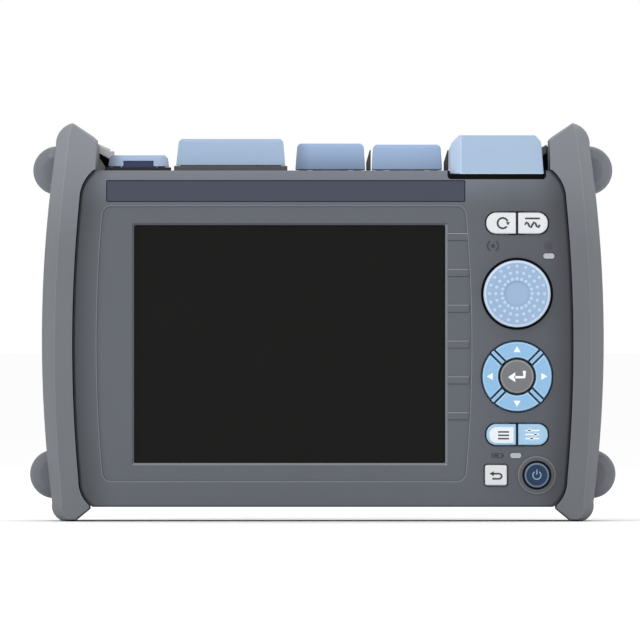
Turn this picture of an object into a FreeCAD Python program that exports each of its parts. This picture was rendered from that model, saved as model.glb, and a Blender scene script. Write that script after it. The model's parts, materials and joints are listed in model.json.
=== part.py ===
import FreeCAD
import Part
import math
import os

# Handheld optical time domain reflectometer, in millimetres.
# +X is to the right of someone facing the screen, +Y goes into the instrument, +Z is up.
# The origin lies under its middle, on the surface that its two guards stand on.

V = FreeCAD.Vector

# ---------------------------------------------------------------- case
depth = 69.0                    # rear rims of the guards to the face of the knob
knob_proud = 1.5                # knob face in front of the guards
guard_proud_front = 2.0         # guards in front of the case
guard_proud_rear = 2.0          # guards behind the case
foot_height = 5.4               # floor to the underside of the case
case_height = 125.8
case_top_half = 85.5            # half widths of the case outline, from the top down
case_shoulder_half = 90.7
case_knee_half = 91.1
case_foot_half = 86.1
shoulder_drop = 10.7
knee_rise = 10.1
shoulder_bulge = 1.3            # how far each curved stretch stands out from its chord
side_bulge = 2.5
knee_bulge = 1.4
case_wall = 2.6
top_wall = 6.0
rear_wall = 8.0
front_half_depth = 25.0         # case face to the joint between the two halves
case_edge = 0.8                 # chamfer round the case face

# ---------------------------------------------------------------- guards
seam_gap = 0.3
guard_high_half = 99.8          # half widths of the guard outline
guard_low_half = 101.3
guard_side_bulge = 4.55
guard_bevel = 10.0              # depth of the slanted outer rim
horn_inner_half = 84.6
horn_height = 17.8              # peak of the horn above the case
horn_shoulder_drop = 9.0
horn_peak_half = 93.4
horn_peak_bulge = 2.2
horn_slant_drop = 5.1
horn_tip = 1.2                  # chamfer at the horn's inner tip
toe_half = 87.4
toe_rise = 4.2
sole_inner_half = 92.6          # the flat sole that the instrument stands on
sole_outer_half = 97.0
heel_rise = 7.0
heel_bulge = 1.6
ridge_high = 4.5                # outer rim from the silhouette in to the ridge line
ridge_mid_bulge = 3.85
ridge_low = 3.7
ridge_lift = 0.8
bump_radius = 9.1
bump_length = 30.0
bump_dome = 4.5
upper_bump_x = 99.4
upper_bump_z = 131.3
lower_bump_x = 100.6
lower_bump_z = 17.6
grip_pitch = 5.6
grip_groove = 1.1
grip_depth = 0.55
grip_length = 36.0
grip_margin = 12.2              # bump centre to the nearest groove
tab_thickness = 6.0             # the guards' inner tabs, held in slots in the rear case
tab_height = 9.0
tab_length = 4.0
tab_root = 2.0
tab_y = 14.0
tab_pitch = 30.0

# ---------------------------------------------------------------- screen
screen_width = 116.4
screen_height = 89.0
screen_inset = 22.8             # left edge of the opening from the widest line of the case
screen_drop = 20.4              # top edge of the opening below the case top
screen_chamfer = 0.8
screen_corner = 0.8
window_overlap = 1.4
window_thickness = 1.8
panel_margin = 2.6              # display module beyond the opening
panel_thickness = 6.0
step_left = 11.9                # shallow field round the screen, beyond the opening
step_right = 7.7
step_above = 7.1
step_below = 6.8
step_bulge = 2.1
step_corner = 3.4
step_depth = 0.6
front_wall = 2.6
rib_count = 6
rib_pitch = 13.4
rib_height = 2.7
rib_length = 8.0
rib_first_drop = 3.1            # first rib below the top edge of the opening
rib_proud = 0.35

# ---------------------------------------------------------------- name strip
strip_width = 134.3
strip_height = 8.2
strip_inset = 12.4
strip_drop = 3.6
strip_recess = 0.8
strip_thickness = 0.55
fit_gap = 0.15                  # clearance round pieces that drop into a pocket

# ---------------------------------------------------------------- keys
key_gap = 0.5
key_travel = 0.8
key_spare = 0.1
key_proud = 1.2
flange_reach = 1.0
flange_thickness = 1.0
flange_gap = 0.2
key_column_inset = 20.8         # key column from the widest line of the case
small_key_width = 11.1
small_key_height = 7.9
small_key_offset = 5.95
small_key_end = 3.7
upper_key_drop = 19.7           # upper pair of keys below the case top
upper_key_to_knob = 8.95        # clear face between one control and the next, from the top down
knob_to_pad = 3.8
pad_to_lower_key = 4.15
lower_key_to_collar = 4.15
escape_width = 8.2
escape_height = 7.6
escape_offset = -7.9
escape_corner = 0.8
power_offset = 7.4
power_radius = 4.65
power_collar = 7.1
power_collar_gap = 0.7
power_collar_proud = 0.9
plunger_size = 3.0
key_edge = 0.4                  # rounding round the caps

# ---------------------------------------------------------------- arrow pad
pad_radius = 12.9
pad_well_gap = 0.7
pad_inner = 7.1
pad_bar = 1.3
pad_bar_gap = 0.7
arrow_edge = 0.3
pad_plate = 1.0
pad_plate_reach = 1.9
pad_plunger_at = 10.6
enter_radius = 6.3
enter_flange = 7.5
enter_flange_step = 1.0         # enter flange behind the arrow flanges at full travel

# ---------------------------------------------------------------- knob and encoder
knob_radius = 12.5
knob_well_gap = 1.0
knob_well_depth = 1.4
knob_travel = 0.5
knob_edge = 0.8
knob_dish_radius = 4.6
knob_dish_depth = 0.4
shaft_radius = 3.0
shaft_flat = 2.2
shaft_hole_gap = 0.4
shaft_in_knob = 3.0
rotor_radius = 5.0
rotor_length = 3.4
running_gap = 0.05
encoder_size = 12.4
encoder_depth = 6.0
encoder_lip = 0.8

# ---------------------------------------------------------------- lamps
lamp_width = 4.3
lamp_height = 2.1
laser_lamp_offset = 11.9
laser_lamp_rise = 14.1          # laser lamp above the knob's axis
charge_lamp_offset = -0.5
charge_lamp_below = 3.95        # charge lamp below the lower pair of keys
lamp_proud = 0.25
lamp_flange = 0.7

# ---------------------------------------------------------------- boards
board_thickness = 1.6
key_board_depth = 10.7          # board face behind the case face
key_board_half = 14.6
key_board_top_drop = 14.6
key_board_bottom_rise = 6.0
membrane_thickness = 1.0
post_half = 1.8                 # square posts under the boards
key_post_reach = 12.5           # key board posts either side of the key column
key_post_high_gap = 4.55        # key board posts below the upper and the lower pair of keys
key_post_low_gap = 2.55
post_inset = 2.8
main_board_depth = 17.0
post_gap = 0.8                  # display module to the posts beside it
optics_width = 36.0
optics_height = 76.0
optics_depth = 14.0
optics_x = 66.0
optics_z = 72.0

# ---------------------------------------------------------------- port deck and covers
deck_margin = 2.7               # end of the deck to the end of the case's top
deck_front = -20.8
deck_rear = 20.8
deck_gap = 0.2
cover_gap = 0.3
cover_wall = 1.3
cover_edge = 1.0
cover_front = -20.4
cover_rear = 5.0
cover_lean = 1.2                # each cover narrows by this towards its top, front and back
hinge_y = 8.2
hinge_rise = 3.1                # hinge line above the deck
knuckle_radius = 1.9
ear_width = 3.0
hinge_side_gap = 0.3
pin_radius = 0.9
fin_width = 1.8                 # a fin stands to the left of the two covers at the right
fin_height = 7.8
fin_step = 3.2                  # its outer side is upright to here, then leans in
fin_crest = 0.4
fin_gap = 0.35
plinth_reach = 0.8
notch_drop = 3.3
notch_side_gap = 0.9
grip_slot = 2.0

# name, left, right, inset at the top left and right, plinth height, height above the deck
low_cover = ("dc_cover", -80.3, -57.7, 0.6, 0.6, 1.3, 5.8)
wide_cover = ("usb_cover", -54.9, -14.1, 1.1, 0.8, 1.8, 11.9)
light_cover = ("light_port_cover", -10.3, 15.9, 0.8, 0.7, 0.0, 10.2)
meter_cover = ("meter_port_cover", 18.3, 44.7, 0.6, 0.7, 0.0, 9.8)
tall_cover = ("otdr_port_cover", 47.5, 82.6, 3.5, 3.2, 0.0, 13.2)
covers = [low_cover, wide_cover, light_cover, meter_cover, tall_cover]
tall_cover_front = -31.6
tall_facet = 4.0                # width of the slanted corner at the tall cover's left
tall_shoulder_drop = 4.7        # its sides turn inwards here, below its top
tall_shoulder_inset = 0.7
tall_brow_drop = 2.5
tall_brow_inset = 0.9
notch_corner = 1.4
notch_in_low_cover = 11.2
notch_in_low_cover_height = 2.0

# ---------------------------------------------------------------- connectors
port_y = -7.0
otdr_port_spacing = 15.0
adapter_width = 11.0
adapter_depth = 9.4
adapter_mouth_width = 9.2
adapter_mouth_depth = 7.4
adapter_above = 5.0
adapter_below = 13.0
adapter_mouth_length = 11.5
adapter_flange = 1.6
adapter_flange_height = 1.2
sleeve_radius = 2.0
ferrule_radius = 1.255
ferrule_length = 7.0
sleeve_recess = 0.6
round_port_radius = 5.2
round_port_above = 5.5
round_port_nut = 6.6
round_port_nut_height = 1.6
meter_bore_radius = 3.2
meter_bore_length = 5.5
usb_width = 13.1
usb_depth = 5.8
usb_shell = 0.4
usb_above = 1.6
usb_below = 12.0
usb_tongue = 1.9
usb_side_gap = 0.8
usb_between = 1.0
small_usb_width = 7.9
small_usb_depth = 3.2
jack_radius = 4.6
jack_mouth_radius = 2.9
jack_mouth_length = 9.5
jack_pin_radius = 1.0
jack_above = 1.0
jack_below = 12.5
jack_flange_radius = 5.6

# ---------------------------------------------------------------- strap lugs
lug_gap = 4.7                   # clear width between the horn and the lug
lug_thickness = 1.4
lug_from_rear = 10.9            # front of the lug to the guards' rear rims
lug_depth = 2.6                 # the bar, front to back
lug_height = 4.4
lug_bar = 3.3
lug_rise = 2.5
strap_passage = 4.4             # webbing goes down between the bar and the fence behind it
lug_fence = 1.6
fence_foot_inset = 2.3          # the fence leaves this much of the corner at the horn open
fence_foot_rise = 1.8
fence_slope_rise = 5.2

# ---------------------------------------------------------------- rear
bail_half = 70.0
bail_arm = 8.0
bail_thickness = 5.2
bail_gap = 0.4
bail_pivot_drop = 19.2
bail_bottom_rise = 12.0
bail_bar = 8.0
bail_recess = 0.2
bail_pin_radius = 1.6
bail_pin_engage = 4.0
finger_half = 15.0
finger_drop = 6.5
bay_half = 42.0
bay_height = 61.0
bay_bottom_rise = 31.0
bay_depth = 23.5
bay_wall = 2.5
door_thickness = 2.5
door_ledge = 3.5
door_gap = 0.3
door_peg_radius = 1.5
door_peg_length = 3.0
door_lock_radius = 4.0
door_lock_depth = 1.6
door_lock_shank = 1.5
door_lock_length = 5.0
coin_slot = 1.4
battery_gap = 0.5
battery_depth = 19.5
contact_width = 3.0
contact_depth = 8.0
contact_pitch = 10.0
screw_high_x = 84.4
screw_high_drop = 9.6
screw_low_x = 53.0
screw_low_rise = 6.0
screw_head = 2.8
screw_head_height = 1.8
screw_shank = 1.45
screw_pocket_gap = 0.4
screw_pocket = 5.0
screw_reach = 8.0
screw_drive = 1.2
boss_half = 3.6                 # square bosses round the case screws

# ---------------------------------------------------------------- derived places
back = depth / 2.0
knob_face = -depth / 2.0
guard_face = knob_face + knob_proud
case_face = guard_face + guard_proud_front
case_back = back - guard_proud_rear
split = case_face + front_half_depth
wall_back = case_face + front_wall
case_bottom = foot_height
case_top = case_bottom + case_height
case_mid_half = (case_shoulder_half + case_knee_half) / 2.0 + side_bulge
horn_top = case_top + horn_height
screen_left = screen_inset - case_mid_half
screen_right = screen_left + screen_width
screen_top = case_top - screen_drop
screen_bottom = screen_top - screen_height
key_column = case_mid_half - key_column_inset
half_key = small_key_height / 2.0
knob_drop = upper_key_drop + half_key + upper_key_to_knob + knob_radius + knob_well_gap
pad_drop = knob_drop + knob_radius + knob_well_gap + knob_to_pad + pad_well_gap + pad_radius
lower_key_drop = pad_drop + pad_radius + pad_well_gap + pad_to_lower_key + half_key
escape_drop = lower_key_drop + half_key + lower_key_to_collar + power_collar
laser_lamp_drop = knob_drop - laser_lamp_rise
charge_lamp_drop = lower_key_drop + half_key + charge_lamp_below
key_post_high_drop = upper_key_drop + half_key + key_post_high_gap
key_post_low_drop = lower_key_drop + half_key + key_post_low_gap
lug_front = back - lug_from_rear
key_face = case_face - key_proud
key_flange_face = wall_back + pad_plate + flange_gap
key_board_face = case_face + key_board_depth
membrane_face = key_board_face - membrane_thickness
plunger_end = membrane_face - key_travel - key_spare
deck_half = case_top_half - deck_margin
deck_top = case_top
deck_bottom = case_top - top_wall
hinge_z = deck_top + hinge_rise
rear_floor = case_back - rear_wall


# ---------------------------------------------------------------- shape helpers
def box(x0, x1, y0, y1, z0, z1):
    """A block between two corners."""
    return Part.makeBox(x1 - x0, y1 - y0, z1 - z0, V(x0, y0, z0))


def rod_x(y, z, radius, x0, x1):
    """A round bar along X."""
    return Part.makeCylinder(radius, x1 - x0, V(x0, y, z), V(1, 0, 0))


def rod_y(x, z, radius, y0, y1):
    """A round bar along Y."""
    return Part.makeCylinder(radius, y1 - y0, V(x, y0, z), V(0, 1, 0))


def rod_z(x, y, radius, z0, z1):
    """A round bar along Z."""
    return Part.makeCylinder(radius, z1 - z0, V(x, y, z0), V(0, 0, 1))


def outline(y, start, steps):
    """A closed wire at depth y; a step is an end point, or an end point and a bulge."""
    edges = []
    here = start
    for step in steps:
        end = (step[0], step[1])
        a = V(here[0], y, here[1])
        b = V(end[0], y, end[1])
        if a.distanceToPoint(b) < 1e-6:
            continue
        if len(step) == 3:
            run = b.sub(a)
            left = V(-run.z, 0, run.x)
            left.normalize()
            middle = (a + b) * 0.5 + left * step[2]
            edges.append(Part.Arc(a, middle, b).toShape())
        else:
            edges.append(Part.LineSegment(a, b).toShape())
        here = end
    return Part.Wire(edges)


def slab(wire, thickness):
    """The prism behind a wire, going along +Y."""
    return Part.Face(wire).extrude(V(0, thickness, 0))


def plate(x0, x1, z0, z1, y0, y1, corner):
    """An upright plate with rounded corners."""
    steps = [
        (x1 - corner, z0), (x1, z0 + corner, -0.2929 * corner),
        (x1, z1 - corner), (x1 - corner, z1, -0.2929 * corner),
        (x0 + corner, z1), (x0, z1 - corner, -0.2929 * corner),
        (x0, z0 + corner), (x0 + corner, z0, -0.2929 * corner),
    ]
    return slab(outline(y0, (x0 + corner, z0), steps), y1 - y0)


def tapered(*levels):
    """A block through rectangles from the bottom up, each (x0, x1, y0, y1, z)."""
    wires = []
    for x0, x1, y0, y1, z in levels:
        corners = [V(x0, y0, z), V(x1, y0, z), V(x1, y1, z), V(x0, y1, z), V(x0, y0, z)]
        wires.append(Part.makePolygon(corners))
    return Part.makeLoft(wires, True, True)


def edges_at(shape, axis, value):
    """Edges whose every end lies at one coordinate."""
    found = []
    for edge in shape.Edges:
        if all(abs(getattr(v.Point, axis) - value) < 1e-4 for v in edge.Vertexes):
            found.append(edge)
    return found


def mirrored(shape):
    """The same shape on the other side of the middle."""
    return shape.mirror(V(0, 0, 0), V(1, 0, 0))


def joined(first, others):
    """One solid from pieces that touch."""
    return first.fuse(others).removeSplitter()


def save(name, shape):
    """Write one node."""
    shape.exportStep(os.path.join("parts", name + ".step"))
    print(name, len(shape.Solids), round(shape.Volume, 1), shape.isValid())


# ---------------------------------------------------------------- case outlines
def case_wire(y, inset=0.0):
    """The barrel-sided outline of the case."""
    foot = case_foot_half - inset
    knee = case_knee_half - inset
    shoulder = case_shoulder_half - inset
    top = case_top_half - inset
    low = case_bottom + inset
    high = case_top - inset
    right = [
        (foot, low),
        (knee, case_bottom + knee_rise, -knee_bulge),
        (shoulder, case_top - shoulder_drop, -side_bulge),
        (top, high, -shoulder_bulge),
    ]
    left = [
        (-top, high),
        (-shoulder, case_top - shoulder_drop, -shoulder_bulge),
        (-knee, case_bottom + knee_rise, -side_bulge),
        (-foot, low, -knee_bulge),
    ]
    return outline(y, (-foot, low), right + left)


def case_half(face, joint):
    """A solid half of the case, bevelled at its face."""
    inward = case_edge if joint > face else -case_edge
    bevel = Part.makeLoft([case_wire(face, case_edge), case_wire(face + inward)], True, True)
    near = min(face + inward, joint)
    return joined(bevel, [case_slab(near, max(face + inward, joint), 0)])


def case_slab(y0, y1, offset):
    """The case outline grown or shrunk by an offset, between two depths."""
    face = Part.Face(case_wire(y0))
    if offset:
        face = face.makeOffset2D(offset)
    return face.extrude(V(0, y1 - y0, 0))


def guard_wire(y, inset):
    """The right guard's outline: its silhouette with inset 0, its ridge line with inset 1."""
    low = guard_low_half - ridge_low * inset
    high = guard_high_half - ridge_high * inset
    bulge = guard_side_bulge + (ridge_mid_bulge - guard_side_bulge) * inset
    lift = ridge_lift * inset
    peak_bulge = horn_peak_bulge * (1.0 - 0.7 * inset)
    steps = [
        (sole_inner_half, lift),
        (sole_outer_half - 2.0 * lift, lift),
        (low, heel_rise, -heel_bulge * (1.0 - 0.4 * inset)),
        (high, horn_top - horn_shoulder_drop, -bulge),
        (horn_peak_half - 0.3 * lift, horn_top - lift, -peak_bulge),
        (horn_inner_half + horn_tip + 0.3 * lift, horn_top - horn_slant_drop - lift),
        (horn_inner_half + 0.3 * lift, horn_top - horn_slant_drop - horn_tip - lift),
        (toe_half, toe_rise + lift),
    ]
    return outline(y, (toe_half, toe_rise + lift), steps)


def guard_side_at(z):
    """Half width of the guard's side at a height."""
    z_low = heel_rise
    z_high = horn_top - horn_shoulder_drop
    half = (z_high - z_low) / 2.0
    radius = (half * half + guard_side_bulge ** 2) / (2.0 * guard_side_bulge)
    along = (z - z_low) / (z_high - z_low)
    chord = guard_low_half + (guard_high_half - guard_low_half) * along
    off = z - z_low - half
    return chord + guard_side_bulge - (radius - math.sqrt(radius * radius - off * off))


# ---------------------------------------------------------------- guards
def bump(x, z):
    """A domed boss at a corner of the guard, lying along the depth."""
    half = bump_length / 2.0
    reach = 0.55 * bump_radius
    profile = [
        V(0, -half, 0), V(reach, -half, 0), V(0.87 * bump_radius, 0.4 * bump_dome - half, 0),
        V(bump_radius, bump_dome - half, 0), V(bump_radius, half - bump_dome, 0),
        V(0.87 * bump_radius, half - 0.4 * bump_dome, 0), V(reach, half, 0), V(0, half, 0),
        V(0, -half, 0),
    ]
    face = Part.Face(Part.makePolygon(profile))
    solid = face.revolve(V(0, 0, 0), V(0, 1, 0), 360)
    return solid.translated(V(x, 0, z))


def grip_heights():
    """The heights of the grip grooves between the two bumps."""
    heights = []
    z = lower_bump_z + grip_margin
    while z < upper_bump_z - grip_margin:
        heights.append(z)
        z += grip_pitch
    return heights


def guard():
    """The right guard: a bevelled elastomer rail with horns, bumps, grip grooves and tabs."""
    rim_front = guard_face + guard_bevel
    rim_rear = back - guard_bevel
    front = Part.makeLoft([guard_wire(guard_face, 1), guard_wire(rim_front, 0)], True, True)
    middle = slab(guard_wire(rim_front, 0), rim_rear - rim_front)
    rear = Part.makeLoft([guard_wire(rim_rear, 0), guard_wire(back, 1)], True, True)
    rail = joined(front, [middle, rear])
    room = case_slab(guard_face - 1.0, back + 1.0, seam_gap)
    rail = max(rail.cut(room).Solids, key=lambda solid: solid.Volume)
    grooves = []
    for z in grip_heights():
        x = guard_side_at(z) - grip_depth
        groove = box(x, x + 3.0, -grip_length / 2.0, grip_length / 2.0, z, z + grip_groove)
        grooves.append(groove)
    rail = rail.cut(grooves)
    bumps = [bump(upper_bump_x, upper_bump_z), bump(lower_bump_x, lower_bump_z)]
    rail = joined(rail, [one.cut(room) for one in bumps] + tabs(0.0))
    return max(rail.Solids, key=lambda solid: solid.Volume)


def tabs(grow):
    """The right guard's inner tabs, or the slots that they sit in."""
    middle = (case_top + case_bottom) / 2.0
    across = tab_thickness / 2.0 + grow
    along = tab_height / 2.0 + grow
    made = []
    for z in (middle - tab_pitch, middle, middle + tab_pitch):
        made.append(box(case_mid_half - tab_length - grow, case_mid_half + tab_root,
                        tab_y - across, tab_y + across, z - along, z + along))
    return made


# ---------------------------------------------------------------- keys
def small_key(side, z, grow, y0, y1):
    """One half of a pill-shaped pair of keys: side -1 is the left one, 1 the right one."""
    x = key_column + side * small_key_offset
    half = side * (small_key_width / 2.0 + grow)
    tall = small_key_height / 2.0 + grow
    end = small_key_end + grow
    sag = -side * 0.2929 * end
    shoulder = x + half - side * end
    steps = [
        (shoulder, z - tall), (x + half, z - tall + end, sag), (x + half, z + tall - end),
        (shoulder, z + tall, sag), (x - half, z + tall), (x - half, z - tall),
    ]
    return slab(outline(y0, (x - half, z - tall), steps), y1 - y0)


def sector(turn, edge_gap, inner, outer, y0, y1):
    """A quarter ring of the arrow pad; turn 0 points up and the others follow clockwise."""
    centre_z = case_top - pad_drop
    ring = rod_y(0, 0, outer, y0, y1).cut(rod_y(0, 0, inner, y0 - 1, y1 + 1))
    reach = 3.0 * outer
    shift = edge_gap * math.sqrt(2.0)
    wedge_points = [V(0, y0 - 1, shift), V(reach, y0 - 1, shift + reach),
                    V(-reach, y0 - 1, shift + reach), V(0, y0 - 1, shift)]
    wedge = Part.Face(Part.makePolygon(wedge_points)).extrude(V(0, y1 - y0 + 2, 0))
    piece = ring.common(wedge)
    piece.rotate(V(0, 0, 0), V(0, 1, 0), 90.0 * turn)
    return piece.translated(V(key_column, 0, centre_z))


def key_with_flange(cap, flange, plungers):
    """A key: its cap, the flange that keeps it in and the plungers on the membrane."""
    return joined(cap, [flange] + plungers)


def plunger(x, z, y0):
    """A key's foot, which presses the membrane."""
    half = plunger_size / 2.0
    return box(x - half, x + half, y0, plunger_end, z - half, z + half)


def softened(shape, size):
    """A key cap with its face edge chamfered."""
    return shape.makeChamfer(size, edges_at(shape, "y", shape.BoundBox.YMin))


def small_key_piece(side, z):
    """A finished half-pill key."""
    cap = softened(small_key(side, z, 0, key_face, key_flange_face), key_edge)
    flange_end = key_flange_face + flange_thickness
    flange = small_key(side, z, 0, key_flange_face, flange_end)
    x = key_column + side * small_key_offset
    half = small_key_width / 2.0
    tall = small_key_height / 2.0 + flange_reach
    bar = box(x - half + 2.5, x + half - 2.5, key_flange_face, flange_end, z - tall, z + tall)
    return key_with_flange(cap, flange, [bar, plunger(x, z, flange_end)])


def escape_piece(grow, y0, y1):
    """The square escape key's outline as a plate."""
    x = key_column + escape_offset
    z = case_top - escape_drop
    half = escape_width / 2.0 + grow
    tall = escape_height / 2.0 + grow
    return plate(x - half, x + half, z - tall, z + tall, y0, y1, escape_corner + grow)


def escape_key():
    """The square key."""
    flange_end = key_flange_face + flange_thickness
    cap = softened(escape_piece(0, key_face, key_flange_face), key_edge)
    flange = escape_piece(flange_reach, key_flange_face, flange_end)
    foot = plunger(key_column + escape_offset, case_top - escape_drop, flange_end)
    return key_with_flange(cap, flange, [foot])


def power_key():
    """The round power key, set in its collar."""
    x = key_column + power_offset
    z = case_top - escape_drop
    flange_end = key_flange_face + flange_thickness
    cap = softened(rod_y(x, z, power_radius, key_face, key_flange_face), key_edge)
    flange = rod_y(x, z, power_radius + power_collar_gap + flange_reach, key_flange_face, flange_end)
    return key_with_flange(cap, flange, [plunger(x, z, flange_end)])


def arrow_key(turn):
    """One arrow key of the pad."""
    z = case_top - pad_drop
    flange_end = key_flange_face + flange_thickness
    gap = pad_bar / 2.0 + pad_bar_gap
    cap = softened(sector(turn, gap, pad_inner, pad_radius, key_face, key_flange_face), arrow_edge)
    flange = sector(turn, gap - 0.6, pad_inner - 0.3, pad_radius + flange_reach + key_gap,
                    key_flange_face, flange_end)
    angle = math.radians(90.0 * turn)
    foot = plunger(key_column + pad_plunger_at * math.sin(angle),
                   z + pad_plunger_at * math.cos(angle), flange_end)
    return key_with_flange(cap, flange, [foot])


def enter_key():
    """The round key in the middle of the arrow pad."""
    z = case_top - pad_drop
    flange_face = key_flange_face + flange_thickness + key_travel + enter_flange_step - 0.6
    flange_end = flange_face + flange_thickness
    cap = softened(rod_y(key_column, z, enter_radius, key_face, flange_face), key_edge)
    flange = rod_y(key_column, z, enter_flange, flange_face, flange_end)
    return key_with_flange(cap, flange, [plunger(key_column, z, flange_end)])


def pad_frame():
    """The fixed cross between the arrow keys, on a ring behind the case face."""
    z = case_top - pad_drop
    plate_end = wall_back + pad_plate
    well = pad_radius + pad_well_gap
    ring = rod_y(key_column, z, well + pad_plate_reach, wall_back, plate_end)
    hole_gap = pad_bar / 2.0 + pad_bar_gap - key_gap
    holes = [rod_y(key_column, z, pad_inner - 0.2, wall_back - 1, plate_end + 1)]
    for turn in range(4):
        holes.append(sector(turn, hole_gap, 1.0, pad_radius + key_gap, wall_back - 1, plate_end + 1))
    ring = ring.cut(holes)
    bars = []
    for turn in range(4):
        bar = box(-pad_bar / 2.0, pad_bar / 2.0, key_face + 0.3, wall_back,
                  pad_inner + 0.1, pad_radius + 0.2)
        bar.rotate(V(0, 0, 0), V(0, 1, 0), 45.0 + 90.0 * turn)
        bars.append(bar.translated(V(key_column, 0, z)))
    return joined(ring, bars)


# ---------------------------------------------------------------- lamps
def lamp(offset, drop, grow, y0, y1):
    """An oval lamp lens."""
    x = key_column + offset
    z = case_top - drop
    half = lamp_width / 2.0 + grow
    tall = lamp_height / 2.0 + grow
    return plate(x - half, x + half, z - tall, z + tall, y0, y1, tall - 0.01)


def lamp_lens(offset, drop):
    """A lens with the flange that holds it behind the case face."""
    lens = lamp(offset, drop, 0, case_face - lamp_proud, wall_back)
    return joined(lens, [lamp(offset, drop, lamp_flange, wall_back, wall_back + flange_thickness)])


# ---------------------------------------------------------------- front half of the case
def step_wire(y):
    """The shallow field round the screen, with barrel sides and rounded corners."""
    x0 = screen_left - step_left
    x1 = screen_right + step_right
    z0 = screen_bottom - step_below
    z1 = screen_top + step_above
    r = step_corner
    sag = -0.2929 * r
    steps = [
        (x1 - r, z0), (x1, z0 + r, sag), (x1, z1 - r, -step_bulge), (x1 - r, z1, sag),
        (x0 + r, z1), (x0, z1 - r, sag), (x0, z0 + r, -step_bulge), (x0 + r, z0, sag),
    ]
    return outline(y, (x0 + r, z0), steps)


def screen_plate(grow, y0, y1):
    """A plate the size of the screen opening."""
    return plate(screen_left - grow, screen_right + grow, screen_bottom - grow,
                 screen_top + grow, y0, y1, screen_corner)


def strip_plate(shrink, y0, y1):
    """The long name strip, or its pocket."""
    x0 = strip_inset - case_mid_half
    z1 = case_top - strip_drop
    return plate(x0 + shrink, x0 + strip_width - shrink, z1 - strip_height + shrink,
                 z1 - shrink, y0, y1, 0.6)


def cover_notch():
    """The cut in the top of the case face that the tall cover hangs in."""
    x0 = tall_cover[1] - notch_side_gap
    x1 = tall_cover[2] + notch_side_gap
    return plate(x0, x1, case_top - notch_drop, case_top + notch_drop, case_face - 1,
                 deck_front + 0.5, notch_corner)


def deck_opening():
    """The opening in the top of the case that the port deck fills."""
    reach = deck_half + deck_gap
    return box(-reach, reach, deck_front - deck_gap, deck_rear + deck_gap,
               deck_bottom - 1.0, case_top + 1.0)


def screw_places():
    """Where the case screws go."""
    places = []
    for x, z in ((screw_high_x, case_top - screw_high_drop), (screw_low_x, case_bottom + screw_low_rise)):
        places.append((-x, z))
        places.append((x, z))
    return places


def key_post_places():
    """Where the key board stands on the case face."""
    places = []
    for z in (case_top - key_post_high_drop, case_top - key_post_low_drop):
        places.append((key_column - key_post_reach, z))
        places.append((key_column + key_post_reach, z))
    return places


def main_post_places():
    """Where the main board stands, outside the display module."""
    reach = panel_margin + post_gap + post_half
    left = screen_left - reach
    right = screen_right + reach
    return [(left, screen_top), (right, screen_top), (left, screen_bottom), (right, screen_bottom)]


def square_post(x, z, end):
    """A post on the back of the case face that a board stands on."""
    return box(x - post_half, x + post_half, wall_back - 0.5, end, z - post_half, z + post_half)


def screw_boss(x, z, y0, y1):
    """A square boss round a case screw, between two depths."""
    return box(x - boss_half, x + boss_half, y0, y1, z - boss_half, z + boss_half)


def front_case():
    """The front half: a walled shell with the screen opening, key holes and knob well."""
    shell = case_half(case_face, split)
    cavity = case_slab(wall_back, split + 1, -case_wall)
    ceiling = box(-200, 200, wall_back, split + 1, case_bottom, case_top - top_wall)
    shell = shell.cut(cavity.common(ceiling))
    shell = shell.cut(cover_notch())
    shell = shell.cut(slab(step_wire(case_face - 1), step_depth + 1))
    shell = shell.cut(strip_plate(0, case_face - 1, case_face + strip_recess))

    hole = screen_plate(0, case_face - 1, wall_back + 1)
    step_face = case_face + step_depth
    wide = screen_plate(screen_chamfer, step_face, step_face + screen_chamfer)
    slope = wide.makeChamfer(screen_chamfer * 0.98, edges_at(wide, "y", step_face + screen_chamfer))
    shell = shell.cut([hole, slope])

    ribs = []
    for i in range(rib_count):
        z = screen_top - rib_first_drop - rib_pitch * i
        x0 = screen_right + screen_chamfer
        rib = box(x0, x0 + rib_length, step_face - rib_proud, step_face + 0.5, z - rib_height, z)
        ribs.append(rib)
    shell = joined(shell, ribs)

    upper = case_top - upper_key_drop
    lower = case_top - lower_key_drop
    y0 = case_face - 2
    y1 = wall_back + 1
    holes = []
    for side in (-1, 1):
        holes.append(small_key(side, upper, key_gap, y0, y1))
        holes.append(small_key(side, lower, key_gap, y0, y1))
    holes.append(escape_piece(key_gap, y0, y1))
    pad_z = case_top - pad_drop
    knob_z = case_top - knob_drop
    well = knob_radius + knob_well_gap
    holes.append(rod_y(key_column, pad_z, pad_radius + pad_well_gap, y0, y1))
    holes.append(rod_y(key_column, knob_z, well, y0, case_face + knob_well_depth))
    holes.append(rod_y(key_column, knob_z, shaft_radius + shaft_hole_gap, y0, y1))
    holes.append(lamp(laser_lamp_offset, laser_lamp_drop, fit_gap, y0, y1))
    holes.append(lamp(charge_lamp_offset, charge_lamp_drop, fit_gap, y0, y1))
    shell = shell.cut(holes)

    power_x = key_column + power_offset
    power_z = case_top - escape_drop
    collar = rod_y(power_x, power_z, power_collar, case_face - power_collar_proud, wall_back)
    collar = softened(collar, key_edge)
    shell = joined(shell, [collar])
    shell = shell.cut(rod_y(power_x, power_z, power_radius + power_collar_gap, y0, y1))

    posts = []
    for x, z in key_post_places():
        posts.append(square_post(x, z, key_board_face))
    for x, z in main_post_places():
        posts.append(square_post(x, z, case_face + main_board_depth))
    for x, z in screw_places():
        posts.append(screw_boss(x, z, wall_back - 0.5, split))
    shell = joined(shell, posts)
    pilots = []
    for x, z in screw_places():
        pilots.append(rod_y(x, z, screw_shank + running_gap, split - screw_reach - 1, split + 1))
    return shell.cut([deck_opening()] + pilots)


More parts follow.
